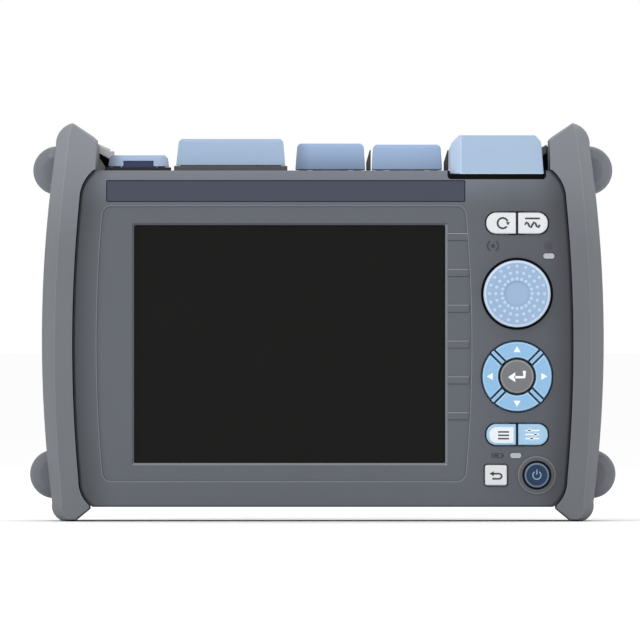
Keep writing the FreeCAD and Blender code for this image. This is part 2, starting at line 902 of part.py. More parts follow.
# ---------------------------------------------------------------- rear half of the case
def bail_wire_box(grow, y0, y1):
    """The U shape of the tilt stand, grown for its channel."""
    pivot_z = case_top - bail_pivot_drop
    top = pivot_z + bail_thickness / 2.0 + grow
    bottom = case_bottom + bail_bottom_rise - grow
    inner = bail_half - bail_arm - grow
    outer = bail_half + grow
    bar_top = case_bottom + bail_bottom_rise + bail_bar + grow
    left = box(-outer, -inner, y0, y1, bottom, top)
    right = box(inner, outer, y0, y1, bottom, top)
    bar = box(-outer, outer, y0, y1, bottom, bar_top)
    return joined(left, [right, bar])


def bail_front():
    """Depth of the inner face of the folded stand."""
    return case_back - bail_recess - bail_thickness


def bail_axis():
    """Depth and height of the stand's hinge line."""
    return bail_front() + bail_thickness / 2.0, case_top - bail_pivot_drop


def bail_pins():
    """The two pins that the stand turns on, held in the rear case."""
    y, z = bail_axis()
    inner = bail_half - bail_arm - bail_gap - bail_pin_engage
    outer = bail_half + bail_gap + bail_pin_engage
    pin = rod_x(y, z, bail_pin_radius, inner, outer)
    return pin, mirrored(pin)


def bay_box(grow, y0, y1):
    """The battery bay's outline as a block."""
    z0 = case_bottom + bay_bottom_rise
    return box(-bay_half - grow, bay_half + grow, y0, y1, z0 - grow, z0 + bay_height + grow)


def door_lock_place():
    """Where the door's coin lock sits: over the ledge above the bay."""
    return 0.0, case_bottom + bay_bottom_rise + bay_height + door_lock_radius + 1.2


def door_outline(shrink, y0, y1):
    """The battery door with the tab that carries its lock."""
    body = bay_box(door_ledge - shrink, y0, y1)
    x, z = door_lock_place()
    tab_half = door_lock_radius + 5.0 - shrink
    tab = box(x - tab_half, x + tab_half, y0, y1, z - door_lock_radius - 2.0,
              z + door_lock_radius + 2.0 - shrink)
    return joined(body, [tab])


def door_peg_places():
    """The door's locating pegs, in the ledge below the bay."""
    z = case_bottom + bay_bottom_rise - door_ledge / 2.0
    return [(-bay_half * 0.7, z), (bay_half * 0.7, z)]


def rear_case():
    """The rear half: a thick-backed shell with the battery bay and the stand's channel."""
    shell = case_half(case_back, split)
    cavity = case_slab(split - 1, rear_floor, -case_wall)
    ceiling = box(-200, 200, split - 1, rear_floor, case_bottom, case_top - top_wall)
    shell = shell.cut(cavity.common(ceiling))
    bay_floor = case_back - bay_depth
    shell = joined(shell, [bay_box(bay_wall, bay_floor - bay_wall, rear_floor + 1.0)])
    door_face = case_back - door_thickness
    shell = shell.cut([bay_box(0, bay_floor, case_back + 1), door_outline(0, door_face, case_back + 1)])
    channel_front = bail_front() - bail_gap
    shell = shell.cut(bail_wire_box(bail_gap, channel_front, case_back + 1))
    finger_top = case_bottom + bail_bottom_rise + 1.0
    finger = box(-finger_half, finger_half, channel_front, case_back + 1,
                 finger_top - 1.0 - finger_drop, finger_top)
    shell = shell.cut(finger)

    holes = [deck_opening()]
    for pin in bail_pins():
        holes.append(pin)
    for slot in tabs(fit_gap):
        holes.append(slot)
        holes.append(mirrored(slot))
    bosses = []
    for x, z in screw_places():
        bosses.append(screw_boss(x, z, split, rear_floor + 0.5))
    shell = joined(shell, bosses)
    seat = case_back - screw_pocket
    for x, z in screw_places():
        holes.append(rod_y(x, z, screw_head + screw_pocket_gap, seat, case_back + 1))
        holes.append(rod_y(x, z, screw_shank + fit_gap, split - 1, seat + 1))
    lock_x, lock_z = door_lock_place()
    holes.append(rod_y(lock_x, lock_z, door_lock_shank + fit_gap, door_face - door_lock_length, case_back))
    for x, z in door_peg_places():
        holes.append(rod_y(x, z, door_peg_radius + fit_gap, door_face - door_peg_length - 0.3, case_back))
    return shell.cut(holes)


def battery_door():
    """The door that lifts off the battery bay."""
    door_face = case_back - door_thickness
    door = door_outline(door_gap, door_face, case_back)
    door = door.makeChamfer(0.5, edges_at(door, "y", case_back))
    pegs = []
    for x, z in door_peg_places():
        pegs.append(rod_y(x, z, door_peg_radius, door_face - door_peg_length, door_face))
    door = joined(door, pegs)
    x, z = door_lock_place()
    seat = case_back - door_lock_depth - 0.2
    return door.cut([rod_y(x, z, door_lock_radius + fit_gap, seat, case_back + 1),
                     rod_y(x, z, door_lock_shank + fit_gap, door_face - 1, case_back + 1)])


def battery_screw():
    """The coin-slot screw that stays in the battery door."""
    x, z = door_lock_place()
    seat = case_back - door_lock_depth - 0.2
    head = rod_y(x, z, door_lock_radius, seat + 0.05, case_back - 0.15)
    shank_end = case_back - door_thickness - door_lock_length + 0.5
    shank = rod_y(x, z, door_lock_shank, shank_end, seat + 0.05)
    slot = box(x - coin_slot / 2.0, x + coin_slot / 2.0, case_back - 1.1, case_back,
               z - door_lock_radius, z + door_lock_radius)
    return joined(head, [shank]).cut(slot)


def tilt_stand():
    """The folding stand: a U-shaped bail with rounded ends on its hinge line."""
    y0 = bail_front()
    y1 = y0 + bail_thickness
    y, z = bail_axis()
    frame = bail_wire_box(0, y0, y1)
    ends = []
    trims = []
    for side in (-1, 1):
        a = side * (bail_half - bail_arm)
        b = side * bail_half
        ends.append(rod_x(y, z, bail_thickness / 2.0, min(a, b), max(a, b)))
        trims.append(box(min(a, b), max(a, b), y0, y1, z, z + bail_thickness))
    frame = joined(frame.cut(trims), ends)
    bores = []
    for pin in bail_pins():
        box_of_pin = pin.BoundBox
        bores.append(rod_x(y, z, bail_pin_radius + running_gap, box_of_pin.XMin, box_of_pin.XMax))
    return frame.cut(bores)


# ---------------------------------------------------------------- port deck
def cover_floor(cover):
    """Height of a cover's lower edge."""
    return deck_top + cover[5] + cover_gap


def cover_ears(cover):
    """Left and right ends of a cover's hinge knuckle."""
    return cover[1] + ear_width + 1.5, cover[2] - ear_width - 1.5


def port_places():
    """The connectors: x of each, by name."""
    tall_middle = (tall_cover[1] + tall_cover[2]) / 2.0
    first_usb = wide_cover[1] + cover_wall + usb_side_gap + usb_width / 2.0
    second_usb = first_usb + usb_width + usb_between
    return {
        "otdr_1": tall_middle - otdr_port_spacing / 2.0,
        "otdr_2": tall_middle + otdr_port_spacing / 2.0,
        "light": (light_cover[1] + light_cover[2]) / 2.0,
        "meter": (meter_cover[1] + meter_cover[2]) / 2.0,
        "usb_1": first_usb,
        "usb_2": second_usb,
        "small_usb": second_usb + (usb_width + small_usb_width) / 2.0 + usb_between,
        "jack": (low_cover[1] + low_cover[2]) / 2.0,
    }


def block_at(x, y, width, thick, z0, z1):
    """A block centred on a port."""
    return box(x - width / 2.0, x + width / 2.0, y - thick / 2.0, y + thick / 2.0, z0, z1)


def port_deck():
    """The panel on top that carries the connectors, hinge ears and fins."""
    deck = box(-deck_half, deck_half, deck_front, deck_rear, deck_bottom, deck_top)
    added = []
    cuts = []
    for cover in covers:
        left, right = cover_ears(cover)
        if cover[5] > 0:
            front = cover_front - 0.2
            added.append(box(cover[1] - plinth_reach, cover[2] + plinth_reach, front,
                             cover_rear + 0.4, deck_top, deck_top + cover[5]))
        for a, b in ((left - ear_width, left), (right, right + ear_width)):
            ear = rod_x(hinge_y, hinge_z, knuckle_radius, a, b)
            foot = box(a, b, hinge_y - knuckle_radius, hinge_y + knuckle_radius, deck_top, hinge_z)
            added.append(joined(ear, [foot]))
        cuts.append(rod_x(hinge_y, hinge_z, pin_radius, left - ear_width - 1, right + ear_width + 1))
    fin_front = cover_front + 2.0
    for cover in (meter_cover, tall_cover):
        x1 = cover[1] - fin_gap
        x0 = max(x1 - fin_width, covers[covers.index(cover) - 1][2] + fin_gap)
        added.append(slab(outline(fin_front, (x0, deck_top), [
            (x0, deck_top + fin_step), (x1 - fin_crest, deck_top + fin_height),
            (x1, deck_top + fin_height), (x1, deck_top), (x0, deck_top),
        ]), cover_rear - fin_front))
    deck = joined(deck, added)
    places = port_places()
    for name in ("otdr_1", "otdr_2"):
        cuts.append(block_at(places[name], port_y, adapter_width, adapter_depth,
                             deck_bottom - 1, deck_top + 1))
    for name in ("light", "meter"):
        cuts.append(rod_z(places[name], port_y, round_port_radius, deck_bottom - 1, deck_top + 1))
    for name in ("usb_1", "usb_2"):
        cuts.append(block_at(places[name], port_y, usb_width, usb_depth, deck_bottom - 1, deck_top + 3))
    cuts.append(block_at(places["small_usb"], port_y, small_usb_width, small_usb_depth,
                         deck_bottom - 1, deck_top + 3))
    cuts.append(rod_z(places["jack"], port_y, jack_radius, deck_bottom - 1, deck_top + 3))
    return deck.cut(cuts)


def hinge_pins():
    """One pin through the ears of each cover's hinge."""
    pins = []
    for cover in covers:
        left, right = cover_ears(cover)
        pins.append(rod_x(hinge_y, hinge_z, pin_radius, left - ear_width, right + ear_width))
    return Part.makeCompound(pins)


def faceted(*levels):
    """A block like a tapered one, whose front left corner is cut back to a line at one x."""
    facet = tall_cover[1] + tall_facet
    wires = []
    for x0, x1, y0, y1, z in levels:
        cut = facet - x0
        corners = [V(x0, y0 + cut, z), V(facet, y0, z), V(x1, y0, z), V(x1, y1, z), V(x0, y1, z)]
        wires.append(Part.makePolygon(corners + corners[:1]))
    return Part.makeLoft(wires, True, True)


def tall_shell():
    """The tall cover's walls and roof, with the faceted left corner."""
    x0, x1, inset_left, inset_right = tall_cover[1:5]
    top = deck_top + tall_cover[6]
    front = tall_cover_front
    lean = cover_lean
    w = cover_wall
    floor = case_top - notch_drop + grip_slot
    shoulder = top - tall_shoulder_drop
    brow = top - tall_brow_drop
    inset = tall_brow_inset
    side = x1 - tall_shoulder_inset
    rear = cover_rear - lean / 2.0
    crest_left = x0 + inset_left
    crest_right = x1 - inset_right
    body = faceted(
        (x0, x1, front, cover_rear, floor),
        (x0, side, front + lean, cover_rear, shoulder),
        (x0 + inset, side - inset / 2.0, front + 1.5 * lean, cover_rear, brow),
        (crest_left, crest_right, front + 2.5 * lean, rear, top))
    hollow = faceted(
        (x0 + w, x1 - w, front + w, cover_rear - w, floor - 0.01),
        (x0 + w, side - w, front + lean + w, cover_rear - w, shoulder - w / 2.0),
        (crest_left, crest_right - w / 3.0, front + 2.5 * lean + w, rear - w, top - w))
    body = body.cut(hollow)
    skirt_end = deck_front - cover_gap
    return body.cut(box(x0 - 1, x1 + 1, skirt_end, cover_rear + 1, floor - 1, deck_top + cover_gap))


def cover_shell(cover):
    """The walls and roof of one of the other covers."""
    x0, x1, inset_left, inset_right = cover[1:5]
    front = cover_front
    floor = cover_floor(cover)
    top = deck_top + cover[6]
    low = (x0, x1, front, cover_rear, floor)
    high = (x0 + inset_left, x1 - inset_right, front + cover_lean, cover_rear - 0.6, top)
    w = cover_wall
    edge = cover_edge
    part_way = (top - edge - floor) / (top - floor)
    brow = [a + (b - a) * part_way for a, b in zip(low[:4], high[:4])] + [top - edge]
    crown = (brow[0] + edge, brow[1] - edge, brow[2] + edge, brow[3] - edge, top)
    body = tapered(low, brow, crown)
    hollow_low = (low[0] + w, low[1] - w, low[2] + w, low[3] - w, floor - 0.01)
    hollow_high = (brow[0] + w, brow[1] - w, brow[2] + w, brow[3] - w, top - w)
    body = body.cut(tapered(hollow_low, hollow_high))
    if cover is low_cover:
        middle = (x0 + x1) / 2.0
        half = notch_in_low_cover / 2.0
        body = body.cut(box(middle - half, middle + half, front - 1, front + w + 0.4,
                            floor - 1, floor + notch_in_low_cover_height))
    return body


def cover_piece(cover):
    """A hollow port cover with its hinge knuckle."""
    floor = cover_floor(cover)
    if cover is tall_cover:
        body = tall_shell()
        floor = case_top - notch_drop + grip_slot
    else:
        body = cover_shell(cover)
    left, right = cover_ears(cover)
    a = left + hinge_side_gap
    b = right - hinge_side_gap
    knuckle = rod_x(hinge_y, hinge_z, knuckle_radius, a, b)
    web_low = max(hinge_z - 0.9, max(floor, deck_top + cover_gap))
    web_top = min(hinge_z + 0.9, deck_top + cover[6] - 0.6)
    web = box(a, b, cover_rear - cover_wall, hinge_y, web_low, web_top)
    whole = joined(body, [knuckle, web])
    return whole.cut(rod_x(hinge_y, hinge_z, pin_radius + running_gap, a - 1, b + 1))


# ---------------------------------------------------------------- connectors
def square_port(name):
    """A push-pull fibre adapter, open at its mouth."""
    x = port_places()[name]
    top = deck_top + adapter_above
    body = block_at(x, port_y, adapter_width, adapter_depth, deck_top - adapter_below, top)
    flange = block_at(x, port_y, adapter_width + 2 * adapter_flange, adapter_depth + 2 * adapter_flange,
                      deck_top, deck_top + adapter_flange_height)
    body = joined(body, [flange])
    mouth = block_at(x, port_y, adapter_mouth_width, adapter_mouth_depth,
                     top - adapter_mouth_length, top + 1)
    return body.cut(mouth)


def ferrule_sleeve(name, floor):
    """The ceramic sleeve that lines up the ferrule in a fibre adapter."""
    x = port_places()[name]
    tube = rod_z(x, port_y, sleeve_radius, floor, floor + ferrule_length)
    return tube.cut(rod_z(x, port_y, ferrule_radius, floor - 1, floor + ferrule_length + 1))


def round_port(name, bore, length):
    """A round fibre adapter with a hexagon nut on the deck."""
    x = port_places()[name]
    top = deck_top + round_port_above
    body = rod_z(x, port_y, round_port_radius, deck_bottom - 2.0, top)
    nut_points = []
    for i in range(7):
        angle = math.radians(60.0 * i)
        nut_points.append(V(x + round_port_nut * math.cos(angle),
                            port_y + round_port_nut * math.sin(angle), deck_top))
    nut = Part.Face(Part.makePolygon(nut_points)).extrude(V(0, 0, round_port_nut_height))
    body = joined(body, [nut])
    return body.cut(rod_z(x, port_y, bore, top - length, top + 1))


def usb_socket(name):
    """A full-size USB socket: a metal shell with its tongue."""
    x = port_places()[name]
    top = deck_top + wide_cover[5] + usb_above
    bottom = deck_bottom - usb_below / 2.0
    shell = block_at(x, port_y, usb_width, usb_depth, bottom, top)
    hollow = block_at(x, port_y, usb_width - 2 * usb_shell, usb_depth - 2 * usb_shell, bottom + 2.0, top + 1)
    tongue = box(x - usb_width / 2.0 + 1.2, x + usb_width / 2.0 - 1.2,
                 port_y, port_y + usb_tongue, bottom + 1.0, top - 1.0)
    return joined(shell.cut(hollow), [tongue])


def small_usb_socket():
    """The small USB socket beside the two full-size ones."""
    x = port_places()["small_usb"]
    top = deck_top + wide_cover[5] + usb_above - 0.6
    bottom = deck_bottom - 1.0
    shell = block_at(x, port_y, small_usb_width, small_usb_depth, bottom, top)
    hollow = block_at(x, port_y, small_usb_width - 2 * usb_shell, small_usb_depth - 2 * usb_shell,
                      bottom + 1.5, top + 1)
    tongue = box(x - 2.6, x + 2.6, port_y - 0.4, port_y + 0.4, bottom + 1.0, top - 0.6)
    return joined(shell.cut(hollow), [tongue])


def dc_jack():
    """The barrel socket for the charger."""
    x = port_places()["jack"]
    top = deck_top + low_cover[5] + jack_above
    body = rod_z(x, port_y, jack_radius, deck_top - jack_below, top)
    rim = rod_z(x, port_y, jack_flange_radius, deck_top + low_cover[5], top)
    body = joined(body, [rim])
    body = body.cut(rod_z(x, port_y, jack_mouth_radius, top - jack_mouth_length, top + 1))
    return joined(body, [rod_z(x, port_y, jack_pin_radius, top - jack_mouth_length - 0.5, top - 1.5)])


def strap_lug():
    """The right lug: a slanted bar that closes the gap to the horn, with a fence behind it."""
    inner = horn_inner_half - lug_gap
    end = horn_inner_half - seam_gap
    z0 = case_top
    fence_front = lug_front + lug_depth + strap_passage
    post = box(inner - lug_thickness, inner, lug_front, fence_front + lug_fence, z0,
               z0 + lug_height + lug_bar)
    bar = slab(outline(lug_front, (inner, z0 + lug_height), [
        (end, z0 + lug_height + lug_rise), (end, z0 + lug_height + lug_rise + lug_bar),
        (inner, z0 + lug_height + lug_bar), (inner, z0 + lug_height),
    ]), lug_depth)
    foot = end - fence_foot_inset
    top = z0 + lug_height + lug_bar / 2.0
    fence = slab(outline(fence_front, (inner, z0), [
        (foot, z0), (foot, z0 + fence_foot_rise), (end, z0 + fence_slope_rise),
        (end, top + lug_rise), (inner, top), (inner, z0),
    ]), lug_fence)
    return joined(post, [bar, fence])


# ---------------------------------------------------------------- knob and encoder
def shaft_bar(radius, flat, y0, y1):
    """A bar with one flat, along the knob's axis."""
    z = case_top - knob_drop
    bar = rod_y(key_column, z, radius, y0, y1)
    return bar.cut(box(key_column - radius - 1, key_column + radius + 1, y0 - 1, y1 + 1,
                       z + flat, z + radius + 1))


def encoder_front():
    """Depth of the encoder's front face."""
    return key_board_face - encoder_depth


def knob():
    """The turning knob, dished in the middle, on the end of the shaft."""
    z = case_top - knob_drop
    skirt = case_face + knob_well_depth - knob_travel - key_spare
    body = rod_y(key_column, z, knob_radius, knob_face, skirt)
    body = body.makeChamfer(knob_edge, edges_at(body, "y", knob_face))
    body = body.cut(rod_y(key_column, z, knob_dish_radius, knob_face - 1, knob_face + knob_dish_depth))
    return body.cut(shaft_bar(shaft_radius + running_gap, shaft_flat + running_gap, skirt - shaft_in_knob, skirt + 1))


def encoder_shaft():
    """The shaft that turns with the knob and slides in when it is pressed."""
    skirt = case_face + knob_well_depth - knob_travel - key_spare
    end = encoder_front() + encoder_lip + rotor_length
    return shaft_bar(shaft_radius, shaft_flat, skirt - shaft_in_knob, end)


def encoder_rotor():
    """The wheel in the encoder that the shaft turns."""
    z = case_top - knob_drop
    y0 = encoder_front() + encoder_lip
    wheel = rod_y(key_column, z, rotor_radius, y0, y0 + rotor_length)
    return wheel.cut(shaft_bar(shaft_radius + running_gap, shaft_flat + running_gap, y0 - 1, y0 + rotor_length + 1))


def encoder_body():
    """The encoder's housing on the key board."""
    z = case_top - knob_drop
    half = encoder_size / 2.0
    y0 = encoder_front()
    y_rotor = y0 + encoder_lip - running_gap
    body = box(key_column - half, key_column + half, y0, key_board_face, z - half, z + half)
    pocket_end = y_rotor + rotor_length + 2 * running_gap
    well = rod_y(key_column, z, rotor_radius + running_gap, y_rotor, pocket_end)
    throat = rod_y(key_column, z, shaft_radius + fit_gap, y0 - 1, key_board_face - 0.6)
    return body.cut([well, throat])


# ---------------------------------------------------------------- inside
def key_board():
    """The board behind the keys."""
    return box(key_column - key_board_half, key_column + key_board_half, key_board_face,
               key_board_face + board_thickness, case_bottom + key_board_bottom_rise,
               case_top - key_board_top_drop)


def keypad_membrane():
    """The rubber sheet under the keys, open at the posts and the encoder."""
    grow = 0.6
    sheet = box(key_column - key_board_half + 0.4, key_column + key_board_half - 0.4, membrane_face,
                key_board_face, case_bottom + key_board_bottom_rise + 0.4,
                case_top - key_board_top_drop - 0.4)
    cuts = []
    notch = post_half + grow
    for x, z in key_post_places():
        reach = notch if x > key_column else key_board_half
        back_reach = key_board_half if x > key_column else notch
        cuts.append(box(x - reach, x + back_reach, membrane_face - 1, key_board_face + 1,
                        z - notch, z + notch))
    z = case_top - knob_drop
    half = encoder_size / 2.0 + grow
    cuts.append(box(key_column - half, key_column + half, membrane_face - 1, key_board_face + 1,
                    z - half, z + half))
    return sheet.cut(cuts)


def main_board():
    """The main circuit board, on four posts behind the display."""
    y0 = case_face + main_board_depth
    xs = [x for x, z in main_post_places()]
    return box(min(xs) - post_inset, max(xs) + post_inset, y0, y0 + board_thickness,
               screen_bottom - post_inset, screen_top + post_inset)


def battery_pack():
    """The rechargeable pack, with bevelled long edges."""
    bay_floor = case_back - bay_depth
    y0 = bay_floor + 0.3
    pack = bay_box(-battery_gap, y0, y0 + battery_depth)
    edges = []
    for edge in pack.Edges:
        if abs(edge.Vertexes[0].Point.x - edge.Vertexes[-1].Point.x) > bay_half:
            edges.append(edge)
    return pack.makeChamfer(2.0, edges)


def battery_contacts():
    """Three contact blades between the bay's lower wall and the pack."""
    z0 = case_bottom + bay_bottom_rise
    middle = case_back - bay_depth + 0.3 + battery_depth / 2.0
    blades = []
    for i in (-1, 0, 1):
        x = contact_pitch * i
        blades.append(box(x - contact_width / 2.0, x + contact_width / 2.0, middle - contact_depth / 2.0,
                          middle + contact_depth / 2.0, z0, z0 + battery_gap))
    return Part.makeCompound(blades)


def case_screws():
    """Four screws that hold the two halves together."""
    screws = []
    seat = case_back - screw_pocket
    for x, z in screw_places():
        head = rod_y(x, z, screw_head, seat, seat + screw_head_height)
        shank = rod_y(x, z, screw_shank, split - screw_reach, seat)
        drive = box(x - screw_drive, x + screw_drive, seat + screw_head_height - 0.9, seat + 5,
                    z - screw_drive, z + screw_drive)
        screws.append(joined(head, [shank]).cut(drive))
    return Part.makeCompound(screws)


def optics_module():
    """The laser and detector unit, against the rear wall beside the battery bay."""
    return box(optics_x - optics_width / 2.0, optics_x + optics_width / 2.0, rear_floor - optics_depth,
               rear_floor, optics_z - optics_height / 2.0, optics_z + optics_height / 2.0)


# ---------------------------------------------------------------- write every node
def main():
    """Build each piece and write its file."""
    os.makedirs("parts", exist_ok=True)
    right_guard = guard()
    right_lug = strap_lug()
    upper = case_top - upper_key_drop
    lower = case_top - lower_key_drop
    save("front_case", front_case())
    save("rear_case", rear_case())
    save("right_guard", right_guard)
    save("left_guard", mirrored(right_guard))
    save("port_deck", port_deck())
    save("display_window", screen_plate(window_overlap, wall_back, wall_back + window_thickness))
    display_face = wall_back + window_thickness
    save("display_module", screen_plate(panel_margin, display_face, display_face + panel_thickness))
    strip_back = case_face + strip_recess
    save("name_strip", strip_plate(fit_gap, strip_back - strip_thickness, strip_back))
    save("laser_lamp", lamp_lens(laser_lamp_offset, laser_lamp_drop))
    save("charge_lamp", lamp_lens(charge_lamp_offset, charge_lamp_drop))
    save("real_time_key", small_key_piece(-1, upper))
    save("average_key", small_key_piece(1, upper))
    save("menu_key", small_key_piece(-1, lower))
    save("setup_key", small_key_piece(1, lower))
    save("escape_key", escape_key())
    save("power_key", power_key())
    for turn, name in enumerate(("up_key", "right_key", "down_key", "left_key")):
        save(name, arrow_key(turn))
    save("enter_key", enter_key())
    save("pad_frame", pad_frame())
    save("knob", knob())
    save("encoder_shaft", encoder_shaft())
    save("encoder_rotor", encoder_rotor())
    save("encoder_body", encoder_body())
    save("key_board", key_board())
    save("keypad_membrane", keypad_membrane())
    save("main_board", main_board())
    save("optics_module", optics_module())
    save("cover_hinge_pins", hinge_pins())
    for cover in covers:
        save(cover[0], cover_piece(cover))
    save("otdr_port_1", square_port("otdr_1"))
    save("otdr_port_2", square_port("otdr_2"))
    square_floor = deck_top + adapter_above - adapter_mouth_length
    save("otdr_sleeve_1", ferrule_sleeve("otdr_1", square_floor))
    save("otdr_sleeve_2", ferrule_sleeve("otdr_2", square_floor))
    light_depth = ferrule_length + sleeve_recess
    save("light_port", round_port("light", sleeve_radius + running_gap, light_depth))
    save("light_sleeve", ferrule_sleeve("light", deck_top + round_port_above - light_depth))
    save("meter_port", round_port("meter", meter_bore_radius, meter_bore_length))
    save("usb_socket_1", usb_socket("usb_1"))
    save("usb_socket_2", usb_socket("usb_2"))
    save("small_usb_socket", small_usb_socket())
    save("dc_jack", dc_jack())
    save("strap_lug_right", right_lug)
    save("strap_lug_left", mirrored(right_lug))
    save("tilt_stand", tilt_stand())
    save("stand_pins", Part.makeCompound(list(bail_pins())))
    save("battery_pack", battery_pack())
    save("battery_contacts", battery_contacts())
    save("battery_door", battery_door())
    save("battery_screw", battery_screw())
    save("case_screws", case_screws())


main()
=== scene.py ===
"""The look of a handheld optical time domain reflectometer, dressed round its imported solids."""

from __future__ import annotations

import json
import logging
import math
from dataclasses import dataclass, field, replace
from enum import Enum
from typing import Callable, Sequence

import bmesh
import bpy
from mathutils import Matrix, Vector

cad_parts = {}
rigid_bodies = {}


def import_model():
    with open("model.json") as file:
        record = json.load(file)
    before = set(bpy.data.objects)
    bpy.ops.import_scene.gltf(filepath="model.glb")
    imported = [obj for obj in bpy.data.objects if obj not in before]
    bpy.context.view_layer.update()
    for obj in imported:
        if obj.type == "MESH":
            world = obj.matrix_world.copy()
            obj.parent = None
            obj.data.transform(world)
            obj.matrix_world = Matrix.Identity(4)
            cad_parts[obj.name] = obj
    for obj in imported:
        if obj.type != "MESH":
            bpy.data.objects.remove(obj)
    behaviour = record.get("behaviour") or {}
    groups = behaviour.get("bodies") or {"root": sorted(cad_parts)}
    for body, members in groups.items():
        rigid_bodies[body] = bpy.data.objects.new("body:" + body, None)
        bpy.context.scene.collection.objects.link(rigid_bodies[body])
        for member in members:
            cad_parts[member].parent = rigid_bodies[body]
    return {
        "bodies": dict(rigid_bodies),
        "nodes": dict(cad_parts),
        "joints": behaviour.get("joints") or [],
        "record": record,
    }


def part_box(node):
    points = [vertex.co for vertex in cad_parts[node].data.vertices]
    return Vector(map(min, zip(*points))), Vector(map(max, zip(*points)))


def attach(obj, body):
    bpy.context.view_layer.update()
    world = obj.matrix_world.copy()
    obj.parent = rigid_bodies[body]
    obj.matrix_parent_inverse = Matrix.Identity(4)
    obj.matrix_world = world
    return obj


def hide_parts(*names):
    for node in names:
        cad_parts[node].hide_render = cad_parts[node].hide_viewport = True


LOG = logging.getLogger("otdr")
MM = 0.001
Colour = tuple[float, float, float]
Point = tuple[float, float]
EdgeTest = Callable[[bmesh.types.BMEdge], bool]


def linear(colour: Colour) -> tuple[float, float, float, float]:
    """Turn a display colour of 0 to 255 into linear light.

    Args:
        colour: Red, green and blue from 0 to 255.

    Returns:
        Linear red, green, blue and an alpha of 1.
    """
    parts = []
    for value in colour:
        share = value / 255.0
        parts.append(share / 12.92 if share <= 0.04045 else ((share + 0.055) / 1.055) ** 2.4)
    return (parts[0], parts[1], parts[2], 1.0)


# ---------------------------------------------------------------- shader arithmetic
class Wire:
    """A shader socket that takes part in plain arithmetic."""

    def __init__(self, graph: "Graph", socket: bpy.types.NodeSocket) -> None:
        """Hold the socket and the graph that it belongs to."""
        self.graph = graph
        self.socket = socket

    def _math(self, operation: str, first: "Wire | float", second: "Wire | float") -> "Wire":
        """Add a Math node over two operands and return its output."""
        return self.graph.wire("ShaderNodeMath", {"operation": operation}, {0: first, 1: second})

    def __add__(self, other: "Wire | float") -> "Wire":
        """This socket plus another value."""
        return self._math("ADD", self, other)

    def __radd__(self, other: float) -> "Wire":
        """A number plus this socket."""
        return self._math("ADD", other, self)

    def __sub__(self, other: "Wire | float") -> "Wire":
        """This socket minus another value."""
        return self._math("SUBTRACT", self, other)

    def __rsub__(self, other: float) -> "Wire":
        """A number minus this socket."""
        return self._math("SUBTRACT", other, self)

    def __mul__(self, other: "Wire | float") -> "Wire":
        """This socket times another value."""
        return self._math("MULTIPLY", self, other)

    def __rmul__(self, other: float) -> "Wire":
        """A number times this socket."""
        return self._math("MULTIPLY", other, self)

    def __abs__(self) -> "Wire":
        """The size of this socket's value without its sign."""
        return self._math("ABSOLUTE", self, 0.0)


class Graph:
    """The node tree of one material or world."""

    def __init__(self, tree: bpy.types.NodeTree) -> None:
        """Start the tree afresh."""
        self.tree = tree
        tree.nodes.clear()

    def node(self, kind: str, settings: dict | None = None, sockets: dict | None = None) -> bpy.types.Node:
        """Add a node.

        Args:
            kind: The node's type.
            settings: Its properties.
            sockets: A value or a wire for each input, by name or index.

        Returns:
            The new node.
        """
        made = self.tree.nodes.new(kind)
        for name, value in (settings or {}).items():
            setattr(made, name, value)
        for key, value in (sockets or {}).items():
            if isinstance(value, Wire):
                self.tree.links.new(value.socket, made.inputs[key])
            else:
                made.inputs[key].default_value = value
        return made

    def wire(self, kind: str, settings: dict | None = None, sockets: dict | None = None,
             output: int | str = 0) -> Wire:
        """Add a node and return one of its outputs, by name or index."""
        return Wire(self, self.node(kind, settings, sockets).outputs[output])

    def place(self) -> Wire:
        """The position on the object, in metres."""
        return self.wire("ShaderNodeTexCoord", output="Object")

    def along(self, place: Wire, axis: "Axis") -> Wire:
        """One coordinate of a position."""
        return self.wire("ShaderNodeSeparateXYZ", None, {"Vector": place}, axis.value)

    def ramp(self, value: Wire, start: float, end: float, low: float, high: float) -> Wire:
        """Ease from the low level to the high one while a value goes from start to end."""
        sockets = {"Value": value, "From Min": start, "From Max": end, "To Min": low, "To Max": high}
        return self.wire("ShaderNodeMapRange", {"interpolation_type": "SMOOTHSTEP"}, sockets)

    def noise(self, place: Wire, size: float, detail: float) -> Wire:
        """Noise from 0 to 1 whose features are about one size across, in metres."""
        sockets = {"Vector": place, "Scale": 1.0 / size, "Detail": detail, "Roughness": 0.55}
        return self.wire("ShaderNodeTexNoise", None, sockets)

    def mix(self, share: "Wire | float", first: "Wire | tuple", second: "Wire | tuple") -> Wire:
        """Blend two colours: a share of 0 is the first and 1 the second."""
        return self.wire("ShaderNodeMix", {"data_type": "RGBA"}, {0: share, 6: first, 7: second}, 2)

    def bump(self, height: Wire, distance: float, strength: float = 1.0) -> Wire:
        """Bend the normal by a height from 0 to 1 that stands for a distance in metres."""
        sockets = {"Height": height, "Distance": distance, "Strength": strength}
        return self.wire("ShaderNodeBump", None, sockets)

    def surface(self, sockets: dict) -> None:
        """End a material in a Principled shader with these inputs."""
        shader = self.wire("ShaderNodeBsdfPrincipled", None, sockets)
        self.node("ShaderNodeOutputMaterial", None, {"Surface": shader})


def begin(name: str) -> tuple[bpy.types.Material, Graph]:
    """A new material and its emptied tree."""
    made = bpy.data.materials.new(name)
    made.use_nodes = True
    return made, Graph(made.node_tree)


# ---------------------------------------------------------------- finishes
class Axis(Enum):
    """The coordinates of a position on the object."""

    X = "X"
    Y = "Y"
    Z = "Z"


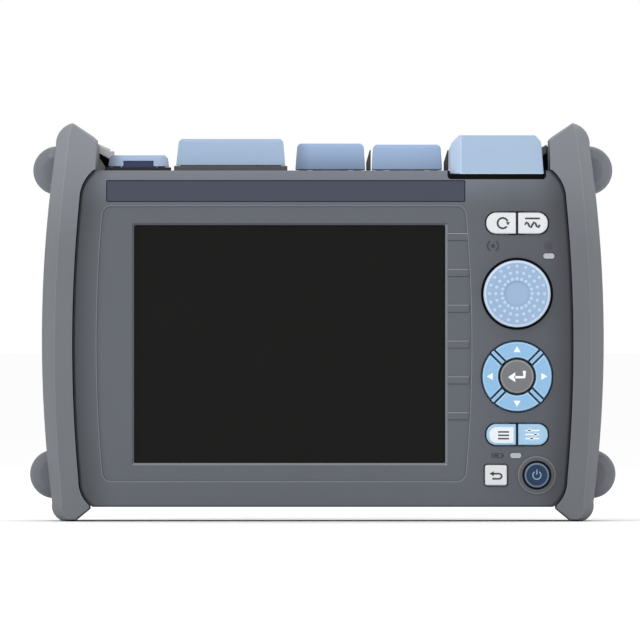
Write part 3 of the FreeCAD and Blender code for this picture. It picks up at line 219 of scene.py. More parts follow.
@dataclass(frozen=True)
class Fade:
    """A soft painted change of light and shade along one axis, standing for how light falls across a form.
    """

    axis: Axis
    start: float
    end: float
    low: float
    high: float
    both_ways: bool = False
    barrel: float = 0.0
    middle: float = 68.0 * MM

    def level(self, graph: Graph, place: Wire) -> Wire:
        """The painted light level at a place.

        Args:
            graph: The material's tree.
            place: Where on the object.

        Returns:
            A factor for the colour.
        """
        value = graph.along(place, self.axis)
        if self.both_ways:
            value = abs(value)
        if self.barrel:
            off = graph.along(place, Axis.Z) - self.middle
            value = value + off * off * self.barrel
        return graph.ramp(value, self.start, self.end, self.low, self.high)


def shade(colour: tuple[float, ...], factor: float) -> tuple[float, float, float, float]:
    """The same hue, lighter or darker."""
    return (min(1.0, colour[0] * factor), min(1.0, colour[1] * factor), min(1.0, colour[2] * factor), 1.0)


@dataclass(frozen=True)
class Moulded:
    """A moulded plastic or rubber with a fine spark-eroded grain, and any painted shading it is given."""

    name: str
    colour: Colour
    roughness: float = 0.5
    grain: float = 0.45 * MM
    relief: float = 0.02 * MM
    mottle: float = 0.05
    specular: float = 0.5
    coat: float = 0.0
    speck: float = 0.6
    fades: tuple[Fade, ...] = ()
    cloud: float = 14.0 * MM
    gloss_swing: float = 0.1
    speck_depth: float = 1.8
    relief_strength: float = 0.7

    def tinted(self, name: str, colour: Colour, **changes: float | tuple[Fade, ...]) -> "Moulded":
        """The same finish under another name, in another colour and with some values changed."""
        return replace(self, name=name, colour=colour, **changes)

    def material(self) -> bpy.types.Material:
        """Build the material: cloudy colour with its painted shading, grain in the normal and uneven gloss.
        """
        made, graph = begin(self.name)
        place = graph.place()
        cloud = graph.noise(place, self.cloud, 2.0)
        fine = graph.noise(place, self.grain, 2.0)
        base = linear(self.colour)
        tint = graph.mix(cloud, shade(base, 1.0 - self.mottle), shade(base, 1.0 + self.mottle))
        tint = graph.mix(fine * self.speck, tint, shade(base, 1.0 - self.speck_depth * self.mottle))
        tint = self.with_painted_shading(graph, place, tint)
        gloss = self.roughness - self.gloss_swing / 2.0 + self.gloss_swing * cloud
        sockets = {
            "Base Color": tint,
            "Roughness": gloss,
            "Specular IOR Level": self.specular,
            "Coat Weight": self.coat,
            "Coat Roughness": 0.2,
            "Normal": graph.bump(fine, self.relief, self.relief_strength),
        }
        graph.surface(sockets)
        return made

    def with_painted_shading(self, graph: Graph, place: Wire, tint: Wire) -> Wire:
        """Let the painted shading take the colour down; its highest level is the full colour.

        Args:
            graph: The material's tree.
            place: Where on the object.
            tint: The full colour.

        Returns:
            The colour with its painted shading.
        """
        for fade in self.fades:
            tint = graph.mix(fade.level(graph, place), (0.0, 0.0, 0.0, 1.0), tint)
        return tint


@dataclass(frozen=True)
class Glassy:
    """A smooth tinted window or lens."""

    name: str
    colour: Colour
    roughness: float = 0.16
    specular: float = 0.2
    smear: float = 0.05

    def material(self) -> bpy.types.Material:
        """Build the material: an even tint under a faintly smeared gloss."""
        made, graph = begin(self.name)
        place = graph.place()
        cloud = graph.noise(place, 30.0 * MM, 1.0)
        base = linear(self.colour)
        sockets = {
            "Base Color": graph.mix(cloud, shade(base, 0.92), shade(base, 1.08)),
            "Roughness": self.roughness + self.smear * cloud,
            "Specular IOR Level": self.specular,
        }
        graph.surface(sockets)
        return made


@dataclass(frozen=True)
class Metal:
    """A machined, plated or drawn metal."""

    name: str
    colour: Colour
    roughness: float = 0.3
    scratch: float = 0.25 * MM
    stretch: tuple[float, float, float] = (1.0, 1.0, 12.0)

    def material(self) -> bpy.types.Material:
        """Build the material: fine drawn lines over an uneven sheen."""
        made, graph = begin(self.name)
        turned = graph.wire("ShaderNodeMapping", {"vector_type": "TEXTURE"},
                            {"Vector": graph.place(), "Scale": self.stretch})
        lines = graph.noise(turned, self.scratch, 2.0)
        base = linear(self.colour)
        sockets = {
            "Base Color": graph.mix(lines, shade(base, 0.88), shade(base, 1.06)),
            "Metallic": 1.0,
            "Roughness": self.roughness - 0.06 + 0.12 * lines,
            "Normal": graph.bump(lines, 0.004 * MM, 0.6),
        }
        graph.surface(sockets)
        return made


@dataclass(frozen=True)
class Laminate:
    """A circuit board: lacquer over woven glass cloth, with faint copper runs."""

    name: str
    colour: Colour = (18, 84, 52)
    weave: float = 0.6 * MM
    run: float = 2.4 * MM

    def material(self) -> bpy.types.Material:
        """Build the material: a weave in the normal and squared copper runs in the colour."""
        made, graph = begin(self.name)
        place = graph.place()
        cloth = graph.wire("ShaderNodeTexWave", {"wave_type": "BANDS", "bands_direction": "X"},
                           {"Vector": place, "Scale": 1.0 / self.weave})
        brick = graph.wire("ShaderNodeTexVoronoi", {"distance": "CHEBYCHEV", "feature": "F1"},
                           {"Vector": place, "Scale": 1.0 / self.run})
        base = linear(self.colour)
        sockets = {
            "Base Color": graph.mix(brick, shade(base, 0.8), shade(base, 1.5)),
            "Roughness": 0.32 + 0.1 * cloth,
            "Normal": graph.bump(cloth, 0.01 * MM, 0.4),
        }
        graph.surface(sockets)
        return made


class Slot(Enum):
    """The record's material slots."""

    CASE = "case_plastic"
    GUARD = "guard_rubber"
    DECK = "deck_plastic"
    WINDOW = "window"
    DISPLAY = "display"
    STRIP = "strip_plastic"
    LENS = "lamp_lens"
    WHITE_KEY = "white_key"
    BLUE_KEY = "blue_key"
    ARROW = "arrow_blue"
    NAVY_KEY = "navy_key"
    GREY_KEY = "grey_key"
    KNOB = "knob_blue"
    COVER = "cover_blue"
    LUG = "lug_plastic"
    STAND = "stand_plastic"
    BLACK = "black_plastic"
    ADAPTER = "adapter_plastic"
    CERAMIC = "sleeve_ceramic"
    MEMBRANE = "membrane"
    BOARD = "circuit_board"
    STEEL = "steel"
    ZINC = "zinc"
    MODULE = "module_metal"
    BATTERY = "battery_wrap"
    BRASS = "contact_brass"


# Painted light and shade on the guards: lighter towards the top, where light from above falls, and a little
# darker towards the right.
GUARD_PAINTED_SHADING = (
    Fade(Axis.Z, 96.0 * MM, 146.0 * MM, 0.68, 1.0),
    Fade(Axis.X, -60.0 * MM, 90.0 * MM, 1.0, 0.92),
)
# Painted light on the guard bumps: lighter towards the top.
BUMP_PAINTED_SHADING = (Fade(Axis.Z, 96.0 * MM, 146.0 * MM, 0.88, 1.0),)
# Painted light and shade on the case: the top strip lighter where it turns up to the light, a little darker
# from low down to the upper middle, darker towards the right on the key side, and painted shade near the
# guards on both sides that curves with height.
CASE_PAINTED_SHADING = (
    Fade(Axis.Z, 116.0 * MM, 131.2 * MM, 0.60, 1.0),
    Fade(Axis.Z, 20.0 * MM, 100.0 * MM, 1.0, 0.94),
    Fade(Axis.X, 50.0 * MM, 80.0 * MM, 1.0, 0.80),
    Fade(Axis.X, 81.0 * MM, 93.6 * MM, 1.0, 0.52, both_ways=True, barrel=0.98),
)
RUBBER = Moulded("grey_elastomer", (126, 130, 136), 0.62, 0.5 * MM, 0.03 * MM, 0.07, 0.35, fades=GUARD_PAINTED_SHADING)
CAP = Moulded("grey_cap", (106, 108, 111), 0.42, 0.3 * MM, 0.006 * MM, 0.02)
FLAP = Moulded("cover_wide", (154, 176, 203), 0.45, 0.4 * MM, 0.01 * MM, 0.03)
FINISHES = {
    Slot.CASE: Moulded("slate_case", (109, 114, 124), 0.55, mottle=0.06, fades=CASE_PAINTED_SHADING),
    Slot.GUARD: RUBBER,
    Slot.DECK: Moulded("dark_deck", (40, 41, 46), 0.5, specular=0.3),
    Slot.WINDOW: Glassy("tinted_window", (13, 12, 11), 0.2, 0.12),
    Slot.DISPLAY: Glassy("display_panel", (14, 14, 16), 0.3),
    Slot.STRIP: Moulded("slate_blue_inlay", (49, 54, 72), 0.42, 0.3 * MM, 0.008 * MM, 0.03),
    Slot.LENS: Glassy("frosted_lens", (165, 172, 180), 0.3, 0.5, 0.08),
    Slot.WHITE_KEY: CAP.tinted("white_cap", (212, 214, 217), mottle=0.015),
    Slot.BLUE_KEY: CAP.tinted("pale_blue_cap", (154, 191, 218)),
    Slot.ARROW: CAP.tinted("sky_blue_cap", (133, 178, 214)),
    Slot.NAVY_KEY: CAP.tinted("navy_cap", (22, 48, 78), roughness=0.4, mottle=0.03, specular=0.3),
    Slot.GREY_KEY: CAP,
    Slot.KNOB: Moulded("knob_blue", (144, 169, 199), 0.4, 0.35 * MM, 0.008 * MM, 0.02),
    Slot.COVER: FLAP.tinted("cover_blue", (148, 170, 198), mottle=0.025),
    Slot.LUG: Moulded("lug_grey", (128, 131, 135), 0.5),
    Slot.STAND: Moulded("stand_grey", (66, 70, 78), 0.55),
    Slot.BLACK: Moulded("black_plastic", (22, 22, 24), 0.45, specular=0.3),
    Slot.ADAPTER: Moulded("adapter_blue", (26, 78, 142), 0.3, 0.3 * MM, 0.004 * MM),
    Slot.CERAMIC: Glassy("zirconia", (236, 233, 226), 0.15, 0.6),
    Slot.MEMBRANE: Moulded("silicone", (196, 196, 188), 0.5),
    Slot.BOARD: Laminate("solder_mask"),
    Slot.STEEL: Metal("plated_steel", (176, 177, 180), 0.28),
    Slot.ZINC: Metal("nickel_plate", (168, 167, 164), 0.25),
    Slot.MODULE: Metal("milled_aluminium", (190, 192, 196), 0.4, 0.3 * MM, (12.0, 1.0, 1.0)),
    Slot.BATTERY: Moulded("shrink_wrap", (32, 34, 38), 0.3),
    Slot.BRASS: Metal("gold_flash", (212, 170, 92), 0.25),
}
# Copies of one cover blue, each lighter or darker by how light falls on that cover; the low, light port and
# meter covers also carry painted shade at their ends and lower parts.
COVER_PAINTED_SHADE_COPIES = {
    "dc_cover": FLAP.tinted("cover_low_painted_shade", (159, 177, 206), fades=(
        Fade(Axis.X, -80.5 * MM, -74.0 * MM, 0.36, 1.0), Fade(Axis.X, -62.0 * MM, -57.0 * MM, 1.0, 0.75))),
    "usb_cover": FLAP,
    "light_port_cover": FLAP.tinted("cover_light_port_painted_shade", (145, 168, 201), fades=(
        Fade(Axis.Z, 131.0 * MM, 140.5 * MM, 0.70, 1.0), Fade(Axis.X, -10.0 * MM, -4.0 * MM, 0.70, 1.0))),
    "meter_port_cover": FLAP.tinted("cover_meter_painted_shade", (147, 172, 205), fades=(
        Fade(Axis.Z, 131.0 * MM, 140.0 * MM, 0.88, 1.0),)),
    "otdr_port_cover": FLAP.tinted("cover_tall", (154, 176, 201)),
}
# Painted highlight along the lower lip of the tall cover.
COVER_LIP_PAINTED_HIGHLIGHT = FLAP.tinted("cover_lip_painted_highlight", (216, 230, 246), roughness=0.4, mottle=0.02)
# Painted highlight on the top edges of the ribs beside the screen.
RIB_PAINTED_HIGHLIGHT = Moulded("rib_top_painted_highlight", (192, 196, 205), 0.45, mottle=0.03)
# Painted highlight on the rounded edge of the step round the screen field and on the lower and right edges
# of the screen opening.
BEAD_PAINTED_HIGHLIGHT = Moulded("case_bead_painted_highlight", (123, 128, 136), 0.45, mottle=0.03)
# Painted shade on the rounded edge of the name strip and on the walls of its pocket.
STRIP_EDGE_PAINTED_SHADE = Moulded("strip_edge", (30, 32, 42), 0.6, mottle=0.03, specular=0.2)
# Painted shadow on the undersides of the ribs beside the screen.
RIB_PAINTED_SHADOW = Moulded("rib_underside_painted_shadow", (8, 9, 11), 0.6, mottle=0.03)
# Painted shade in the key wells, round the bore of the power key collar and behind the strap lugs.
WELL_PAINTED_SHADE = Moulded("well_painted_shade", (9, 10, 17), 0.6, mottle=0.02, specular=0.15)
# Painted shade in the seam between the case and the guards.
SEAM_PAINTED_SHADE = Moulded("seam_painted_shade", (84, 86, 94), 0.6, mottle=0.03, specular=0.2)
# Painted highlight on the outer edge of the power key collar.
COLLAR_PAINTED_HIGHLIGHT = Moulded("collar_ring_painted_highlight", (122, 122, 123), 0.5, mottle=0.03)
# Painted highlight on the ridge along the front of each guard.
RIDGE_PAINTED_HIGHLIGHT = RUBBER.tinted("guard_ridge_painted_highlight", (148, 152, 159), roughness=0.55, mottle=0.05)
# The left lug in painted light and the right lug in painted shade: copies of one grey, lit and shaded by
# how light falls on each side.
LUG_PAINTED_LIGHT = Moulded("lug_painted_light", (212, 212, 210), 0.5, mottle=0.05)
LUG_PAINTED_SHADE = Moulded("lug_painted_shade", (92, 93, 97), 0.5, mottle=0.05)
DARK_PRINT = Moulded("dark_print", (44, 45, 50), 0.5, mottle=0.02)
FAINT_PRINT = Moulded("faint_print", (44, 46, 51), 0.55, mottle=0.02)
WHITE_PRINT = Moulded("white_print", (236, 240, 246), 0.45, mottle=0.01)
SILVER_TRIM = Moulded("silver_trim", (98, 116, 136), 0.35, mottle=0.02)
MENU_PANEL = CAP.tinted("menu_panel", (222, 228, 234), mottle=0.015)
# Painted light on the left facet of the tall cover, which faces the light.
FACET_PAINTED_LIGHT = FLAP.tinted("cover_facet_painted_light", (173, 193, 218), roughness=0.42, mottle=0.02)
# A dark plate standing for the painted shade in the finger pull of the low cover.
PULL_PAINTED_SHADE = FLAP.tinted("pull_recess_painted_shade", (44, 58, 96), roughness=0.5)
POWER_PRINT = Moulded("power_print", (124, 148, 174), 0.4, mottle=0.02)
# Painted shade on the guard bumps, which sit back behind the guard's rim.
BUMP_PAINTED_SHADE = RUBBER.tinted("guard_bump_painted_shade", (112, 115, 122), fades=BUMP_PAINTED_SHADING)
# Painted highlight on the rounded edges of the arrow keys and the cross between them.
ARROW_RIM_PAINTED_HIGHLIGHT = CAP.tinted("arrow_rim_painted_highlight", (158, 196, 228), roughness=0.4)
# Painted highlight on the rounded edge of the round key.
ENTER_RIM_PAINTED_HIGHLIGHT = CAP.tinted("enter_rim_painted_highlight", (136, 138, 140))
# Painted shade in the gaps round the arrow keys.
PAD_SEAM_PAINTED_SHADE = Moulded("pad_seam_painted_shade", (18, 44, 96), 0.55, mottle=0.02, specular=0.2)
PLINTH = Moulded("plinth_grey", (80, 79, 82), 0.55, mottle=0.05)
FIN = Moulded("fin_grey", (60, 61, 66), 0.55, mottle=0.05)
# Painted highlight on the knob's outer rim.
KNOB_RIM_PAINTED_HIGHLIGHT = Moulded("knob_rim_painted_highlight", (196, 214, 234), 0.35, 0.35 * MM, 0.006 * MM, 0.02)
# Painted highlight on the knob's raised dots, lighter than the knob itself.
KNOB_DOTS_PAINTED_HIGHLIGHT = Moulded("knob_dots", (176, 200, 226), 0.35, 0.35 * MM, 0.004 * MM, 0.02)
Finish = Moulded | Glassy | Metal | Laminate


# ---------------------------------------------------------------- workshop
def mm(*values: float) -> tuple[float, ...]:
    """Millimetres as metres."""
    return tuple(value * MM for value in values)


@dataclass(frozen=True)
class Zone:
    """Picks faces and edges by where they are and which way they face."""

    low: tuple[float, ...] = (-1.0, -1.0, -1.0)
    high: tuple[float, ...] = (1.0, 1.0, 1.0)
    facing: tuple[float, float, float] = (0.0, 1.0, 0.0)
    least: float = -2.0
    most: float = 2.0
    ring: tuple[float, ...] = ()
    mirrored: bool = False

    def holds(self, place: Vector) -> bool:
        """Whether a place lies in the box and between the ring's two radii."""
        x = abs(place.x) if self.mirrored else place.x
        inside = all(a <= value <= b for a, value, b in zip(self.low, (x, place.y, place.z), self.high))
        if inside and self.ring:
            off = math.hypot(x - self.ring[0], place.z - self.ring[1])
            inside = self.ring[2] <= off <= self.ring[3]
        return inside

    def edge(self, edge: bmesh.types.BMEdge) -> bool:
        """Whether both ends of an edge lie in the zone."""
        return all(self.holds(corner.co) for corner in edge.verts)

    def face(self, face: bmesh.types.BMFace) -> bool:
        """Whether a face lies in the zone and looks the wanted way."""
        turned = face.normal.dot(Vector(self.facing))
        return self.least <= turned <= self.most and self.holds(face.calc_center_median())


@dataclass(frozen=True)
class Paint:
    """A second finish for the faces of a piece that lie in some zones."""

    finish: Finish
    zones: tuple[Zone, ...] = ()

    def wanted(self, face: bmesh.types.BMFace) -> bool:
        """Whether a face gets this finish."""
        return any(zone.face(face) for zone in self.zones)


@dataclass
class Workshop:
    """The loaded frame, and the making and mounting of pieces on it."""

    frame: dict
    slots: dict[str, str] = field(default_factory=dict)
    bodies: dict[str, str] = field(default_factory=dict)
    materials: dict[str, bpy.types.Material] = field(default_factory=dict)

    def __post_init__(self) -> None:
        """Read each node's slot and body from the record."""
        record = self.frame["record"]
        for part in record["subparts"]:
            self.slots[part["node"]] = part["material_slot"]
        for body, members in record["behaviour"]["bodies"].items():
            for node in members:
                self.bodies[node] = body

    def material(self, finish: Finish) -> bpy.types.Material:
        """The material of a finish, built once."""
        if finish.name not in self.materials:
            self.materials[finish.name] = finish.material()
        return self.materials[finish.name]

    def finish_of(self, node: str) -> Finish:
        """The finish of a CAD node's slot."""
        return FINISHES[Slot(self.slots[node])]

    def dress(self, node: str) -> None:
        """Give a CAD node that stays in view its own material."""
        shown = self.frame["nodes"][node]
        shown.data.materials.clear()
        shown.data.materials.append(self.material(self.finish_of(node)))

    def loose_copy(self, node: str, whole: bool = True) -> bmesh.types.BMesh:
        """A CAD node's mesh with its triangles joined up and its flat faces made whole.

        Args:
            node: The CAD node.
            whole: Whether flat faces are made whole, or kept as triangles where holes ring them.

        Returns:
            A new bmesh in the row frame.
        """
        source = self.frame["nodes"][node].data
        made = bmesh.new()
        corners = [made.verts.new(v.co) for v in source.vertices]
        for face in source.polygons:
            made.faces.new([corners[i] for i in face.vertices])
        bmesh.ops.remove_doubles(made, verts=made.verts[:], dist=0.0005 * MM)
        if whole:
            bmesh.ops.dissolve_limit(made, angle_limit=math.radians(0.4), verts=made.verts[:],
                                     edges=made.edges[:], use_dissolve_boundaries=False)
        return made

    @staticmethod
    def soften(made: bmesh.types.BMesh, width: float, segments: int, wanted: EdgeTest | None = None,
               sharper: float = 30.0, paint: int = 0) -> None:
        """Round the outward edges of a mesh.

        Args:
            made: The mesh.
            width: How far the rounding reaches from the edge, in metres.
            segments: Faces across the rounding.
            wanted: Says whether an edge is rounded.
            sharper: Only edges that turn by more than this many degrees are rounded.
            paint: Place of the paint that the rounding gets, from 1, or 0 for the main finish.
        """
        edges = []
        made.normal_update()
        for edge in made.edges:
            if edge.is_convex and edge.calc_face_angle(0.0) > math.radians(sharper):
                if wanted is None or wanted(edge):
                    edges.append(edge)
        rounded = bmesh.ops.bevel(made, geom=edges, offset=width, offset_type="OFFSET", segments=segments,
                                  profile=0.5, affect="EDGES", clamp_overlap=True)
        for face in rounded["faces"] if paint else ():
            face.material_index = paint

    def piece(self, name: str, made: bmesh.types.BMesh, smooth: float = 35.0) -> bpy.types.Object:
        """Turn a bmesh into a shaded object.

        Args:
            name: The piece's name.
            made: Its mesh, which is freed.
            smooth: Edges that turn by more than this many degrees stay sharp.

        Returns:
            The new object.
        """
        mesh = bpy.data.meshes.new(name)
        made.to_mesh(mesh)
        made.free()
        shown = bpy.data.objects.new(name, mesh)
        bpy.context.scene.collection.objects.link(shown)
        mesh.polygons.foreach_set("use_smooth", [True] * len(mesh.polygons))
        mesh.set_sharp_from_angle(angle=math.radians(smooth))
        normals = shown.modifiers.new("normals", "WEIGHTED_NORMAL")
        normals.keep_sharp = True
        self.settle(shown)
        return shown

    @staticmethod
    def settle(shown: bpy.types.Object) -> None:
        """Put what an object's modifiers make into its own mesh."""
        graph = bpy.context.evaluated_depsgraph_get()
        graph.update()
        mesh = bpy.data.meshes.new_from_object(shown.evaluated_get(graph))
        shown.modifiers.clear()
        shown.data = mesh

    def mount(self, shown: bpy.types.Object, node: str, finish: Finish | None = None,
              stands_for: bool = False) -> bpy.types.Object:
        """Dress a piece and let it ride with a CAD node.

        Args:
            shown: The piece.
            node: The node whose body carries it.
            finish: Its finish, or none for the node's own.
            stands_for: Whether it replaces the node.

        Returns:
            The same piece.
        """
        shown.data.materials.clear()
        shown.data.materials.append(self.material(finish or self.finish_of(node)))
        if stands_for:
            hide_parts(node)
        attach(shown, self.bodies[node])
        LOG.info("%s: %d faces on %s", shown.name, len(shown.data.polygons), self.bodies[node])
        return shown

    def refined(self, node: str, name: str, width: float, segments: int = 2,
                wanted: EdgeTest | None = None, paints: Sequence[Paint] = (),
                finish: Finish | None = None, paint: int = 0, whole: bool = True) -> bpy.types.Object:
        """Replace a CAD node by a copy with rounded edges.

        Args:
            node: The CAD node.
            name: The new piece's name.
            width: Reach of the rounding, in metres.
            segments: Faces across the rounding.
            wanted: Says whether an edge is rounded.
            paints: Other finishes for some of its faces; a later one wins.
            finish: Its main finish, or none for the node's own.
            paint: Place of the paint that the rounding gets, from 1, or 0 for the main finish.
            whole: Whether flat faces are made whole first.

        Returns:
            The new piece.
        """
        made = self.loose_copy(node, whole)
        self.soften(made, width, segments, wanted, 30.0, paint)
        return self.painted(node, name, made, paints, finish)

    def painted(self, node: str, name: str, made: bmesh.types.BMesh, paints: Sequence[Paint] = (),
                finish: Finish | None = None, smooth: float = 35.0) -> bpy.types.Object:
        """Turn a worked copy of a CAD node into its stand-in with several finishes.

        Args:
            node: The CAD node.
            name: The new piece's name.
            made: Its mesh, which is freed.
            paints: Other finishes for some of its faces; a later one wins.
            finish: Its main finish, or none for the node's own.
            smooth: Edges that turn by more than this many degrees stay sharp.

        Returns:
            The new piece.
        """
        made.normal_update()
        for place, paint in enumerate(paints, 1):
            for face in made.faces:
                if paint.wanted(face):
                    face.material_index = place
        shown = self.piece(name, made, smooth)
        places = [face.material_index for face in shown.data.polygons]
        self.mount(shown, node, finish or self.finish_of(node), True)
        for paint in paints:
            shown.data.materials.append(self.material(paint.finish))
        shown.data.polygons.foreach_set("material_index", places)
        return shown


@dataclass(frozen=True)
class Repeat:
    """A Geometry Nodes tree that sets copies of one small form on rings, facing -Y."""

    name: str
    centre: Vector
    count: int
    rings: int
    first_radius: float
    ring_pitch: float
    size: tuple[float, float, float]

    def build(self, shop: Workshop, node: str, finish: Finish) -> bpy.types.Object:
        """Run the tree, keep its mesh and mount it.

        Args:
            shop: The workshop.
            node: The node whose body carries the copies.
            finish: Their finish.

        Returns:
            The new piece.
        """
        tree = self.tree()
        mesh = bpy.data.meshes.new(self.name)
        shown = bpy.data.objects.new(self.name, mesh)
        bpy.context.scene.collection.objects.link(shown)
        modifier = shown.modifiers.new("repeat", "NODES")
        modifier.node_group = tree
        values = {
            "Count": self.count, "First Radius": self.first_radius, "Ring Pitch": self.ring_pitch,
            "Centre": self.centre, "Size": self.size, "Material": shop.material(finish),
        }
        for item in tree.interface.items_tree:
            if item.item_type == "SOCKET" and item.in_out == "INPUT" and item.name in values:
                value = values[item.name]
                modifier[item.identifier] = tuple(value) if isinstance(value, Vector) else value
        shop.settle(shown)
        shown.data.polygons.foreach_set("use_smooth", [True] * len(shown.data.polygons))
        return shop.mount(shown, node, finish)

    def tree(self) -> bpy.types.NodeTree:
        """Lay out the nodes: rings of points, a domed form on each, made real and given its finish."""
        tree = bpy.data.node_groups.new(self.name + "_tree", "GeometryNodeTree")
        graph = Graph(tree)
        kinds = {"Count": "Int", "First Radius": "Float", "Ring Pitch": "Float", "Centre": "Vector",
                 "Size": "Vector", "Material": "Material"}
        for name, kind in kinds.items():
            tree.interface.new_socket(name=name, in_out="INPUT", socket_type="NodeSocket" + kind)
        tree.interface.new_socket(name="Geometry", in_out="OUTPUT", socket_type="NodeSocketGeometry")
        given = graph.node("NodeGroupInput")
        wires = {name: Wire(graph, given.outputs[name]) for name in kinds}
        ball = graph.wire("GeometryNodeMeshIcoSphere", None, {"Radius": 1.0, "Subdivisions": 3})
        join = graph.node("GeometryNodeJoinGeometry")
        for ring in range(self.rings):
            radius = wires["First Radius"] + wires["Ring Pitch"] * float(ring)
            circle = graph.wire("GeometryNodeMeshCircle", {"fill_type": "NONE"},
                                {"Vertices": wires["Count"], "Radius": radius})
            dots = graph.wire("GeometryNodeInstanceOnPoints", None, {
                "Points": circle, "Instance": ball, "Scale": wires["Size"]})
            tree.links.new(dots.socket, join.inputs[0])
        upright = graph.wire("GeometryNodeTransform", None, {
            "Geometry": Wire(graph, join.outputs[0]), "Rotation": (math.radians(90.0), 0.0, 0.0),
            "Translation": wires["Centre"]})
        real = graph.wire("GeometryNodeRealizeInstances", None, {"Geometry": upright})
        dressed = graph.wire("GeometryNodeSetMaterial", None, {
            "Geometry": real, "Material": wires["Material"]})
        graph.node("NodeGroupOutput", None, {"Geometry": dressed})
        return tree


# ---------------------------------------------------------------- flat signs
class Sign(Enum):
    """Generic pictograms, drawn within a square from -1 to 1."""

    TRIANGLE = "triangle"
    RETURN = "return"
    CYCLE = "cycle"
    AVERAGE = "average"
    MENU = "menu"
    SLIDERS = "sliders"
    BACK = "back"
    POWER = "power"
    BURST = "burst"
    BATTERY = "battery"
    TURN_PUSH = "turn_push"


def arc(radius: float, start: float, end: float, steps: int) -> list[Point]:
    """Points along an arc.

    Args:
        radius: Its radius.
        start: Angle of the first point, in degrees from the right, anticlockwise.
        end: Angle of the last point.
        steps: Number of pieces.

    Returns:
        The points.
    """
    points = []
    for i in range(steps + 1):
        angle = math.radians(start + (end - start) * i / steps)
        points.append((radius * math.cos(angle), radius * math.sin(angle)))
    return points


def ribbon(points: Sequence[Point], width: float) -> list[list[Point]]:
    """A line of some width as four-sided faces.

    Args:
        points: The line's points.
        width: Its width.

    Returns:
        The faces, each a list of points.
    """
    sides = []
    for i, (x, y) in enumerate(points):
        before = points[max(i - 1, 0)]
        after = points[min(i + 1, len(points) - 1)]
        run = math.hypot(after[0] - before[0], after[1] - before[1]) or 1.0
        nx = -(after[1] - before[1]) / run * width / 2.0
        ny = (after[0] - before[0]) / run * width / 2.0
        sides.append(((x + nx, y + ny), (x - nx, y - ny)))
    return [[a[0], b[0], b[1], a[1]] for a, b in zip(sides, sides[1:])]


def box_at(x: float, y: float, across: float, up: float) -> list[Point]:
    """The corners of a box with its middle and half sizes."""
    return [(x - across, y - up), (x + across, y - up), (x + across, y + up), (x - across, y + up)]


def drawing(sign: Sign) -> list[list[list[Point]]]:
    """The strokes of a sign.

    Args:
        sign: Which one.

    Returns:
        One list of connected faces for each stroke.
    """
    line = 0.26
    if sign is Sign.TRIANGLE:
        return [[[(-0.85, -0.6), (0.85, -0.6), (0.0, 0.85)]]]
    if sign is Sign.RETURN:
        hook = ribbon([(0.8, 0.75), (0.8, -0.1), (-0.3, -0.1)], 0.34)
        return [hook, [[(-1.0, -0.1), (-0.2, -0.75), (-0.2, 0.55)]]]
    if sign is Sign.CYCLE:
        head = [[(0.45, 0.15), (1.0, 0.15), (0.72, -0.32)]]
        return [ribbon(arc(0.72, 20, 320, 20), line), head]
    if sign is Sign.AVERAGE:
        wave = [(-0.95 + 0.19 * i, -0.25 + 0.42 * math.sin(i * 1.26)) for i in range(11)]
        return [ribbon(wave, line), ribbon([(-0.95, 0.7), (0.95, 0.7)], line)]
    if sign is Sign.MENU:
        return [ribbon([(-0.85, y), (0.85, y)], line) for y in (-0.6, 0.0, 0.6)]
    if sign is Sign.SLIDERS:
        strokes = [ribbon([(-0.9, y), (0.9, y)], 0.2) for y in (-0.6, 0.0, 0.6)]
        for x, y in ((-0.4, 0.6), (0.4, 0.0), (-0.1, -0.6)):
            strokes.append([box_at(x, y, 0.16, 0.26)])
        return strokes
    if sign is Sign.BACK:
        loop = [(-0.5, 0.4), (0.35, 0.4)] + [(0.35 + p[0], p[1]) for p in arc(0.4, 80, -80, 10)]
        hook = ribbon(loop + [(0.35, -0.4), (-0.6, -0.4)], line)
        return [hook, [[(-1.0, 0.4), (-0.4, 0.02), (-0.4, 0.78)]]]
    if sign is Sign.POWER:
        return [ribbon(arc(0.72, 125, 415, 24), 0.22), ribbon([(0.0, 0.1), (0.0, 1.0)], 0.22)]
    if sign is Sign.BURST:
        rays = []
        for i in range(8):
            ray = arc(1.0, 45 * i, 45 * i, 1)[0]
            rays.append(ribbon([(ray[0] * 0.42, ray[1] * 0.42), ray], 0.22))
        return rays + [[arc(0.22, 0, 315, 7)]]
    if sign is Sign.BATTERY:
        shell = [(-0.9, -0.5), (-0.9, 0.5), (0.75, 0.5), (0.75, -0.5)]
        edges = [ribbon([a, b], 0.2) for a, b in zip(shell, shell[1:] + shell[:1])]
        return edges + [[box_at(0.9, 0.0, 0.1, 0.22)], [box_at(-0.275, 0.0, 0.375, 0.25)]]
    left = ribbon(arc(0.85, 120, 240, 10), 0.24)
    right = ribbon(arc(0.85, -60, 60, 10), 0.24)
    return [left, right, [arc(0.32, 0, 330, 11)]]


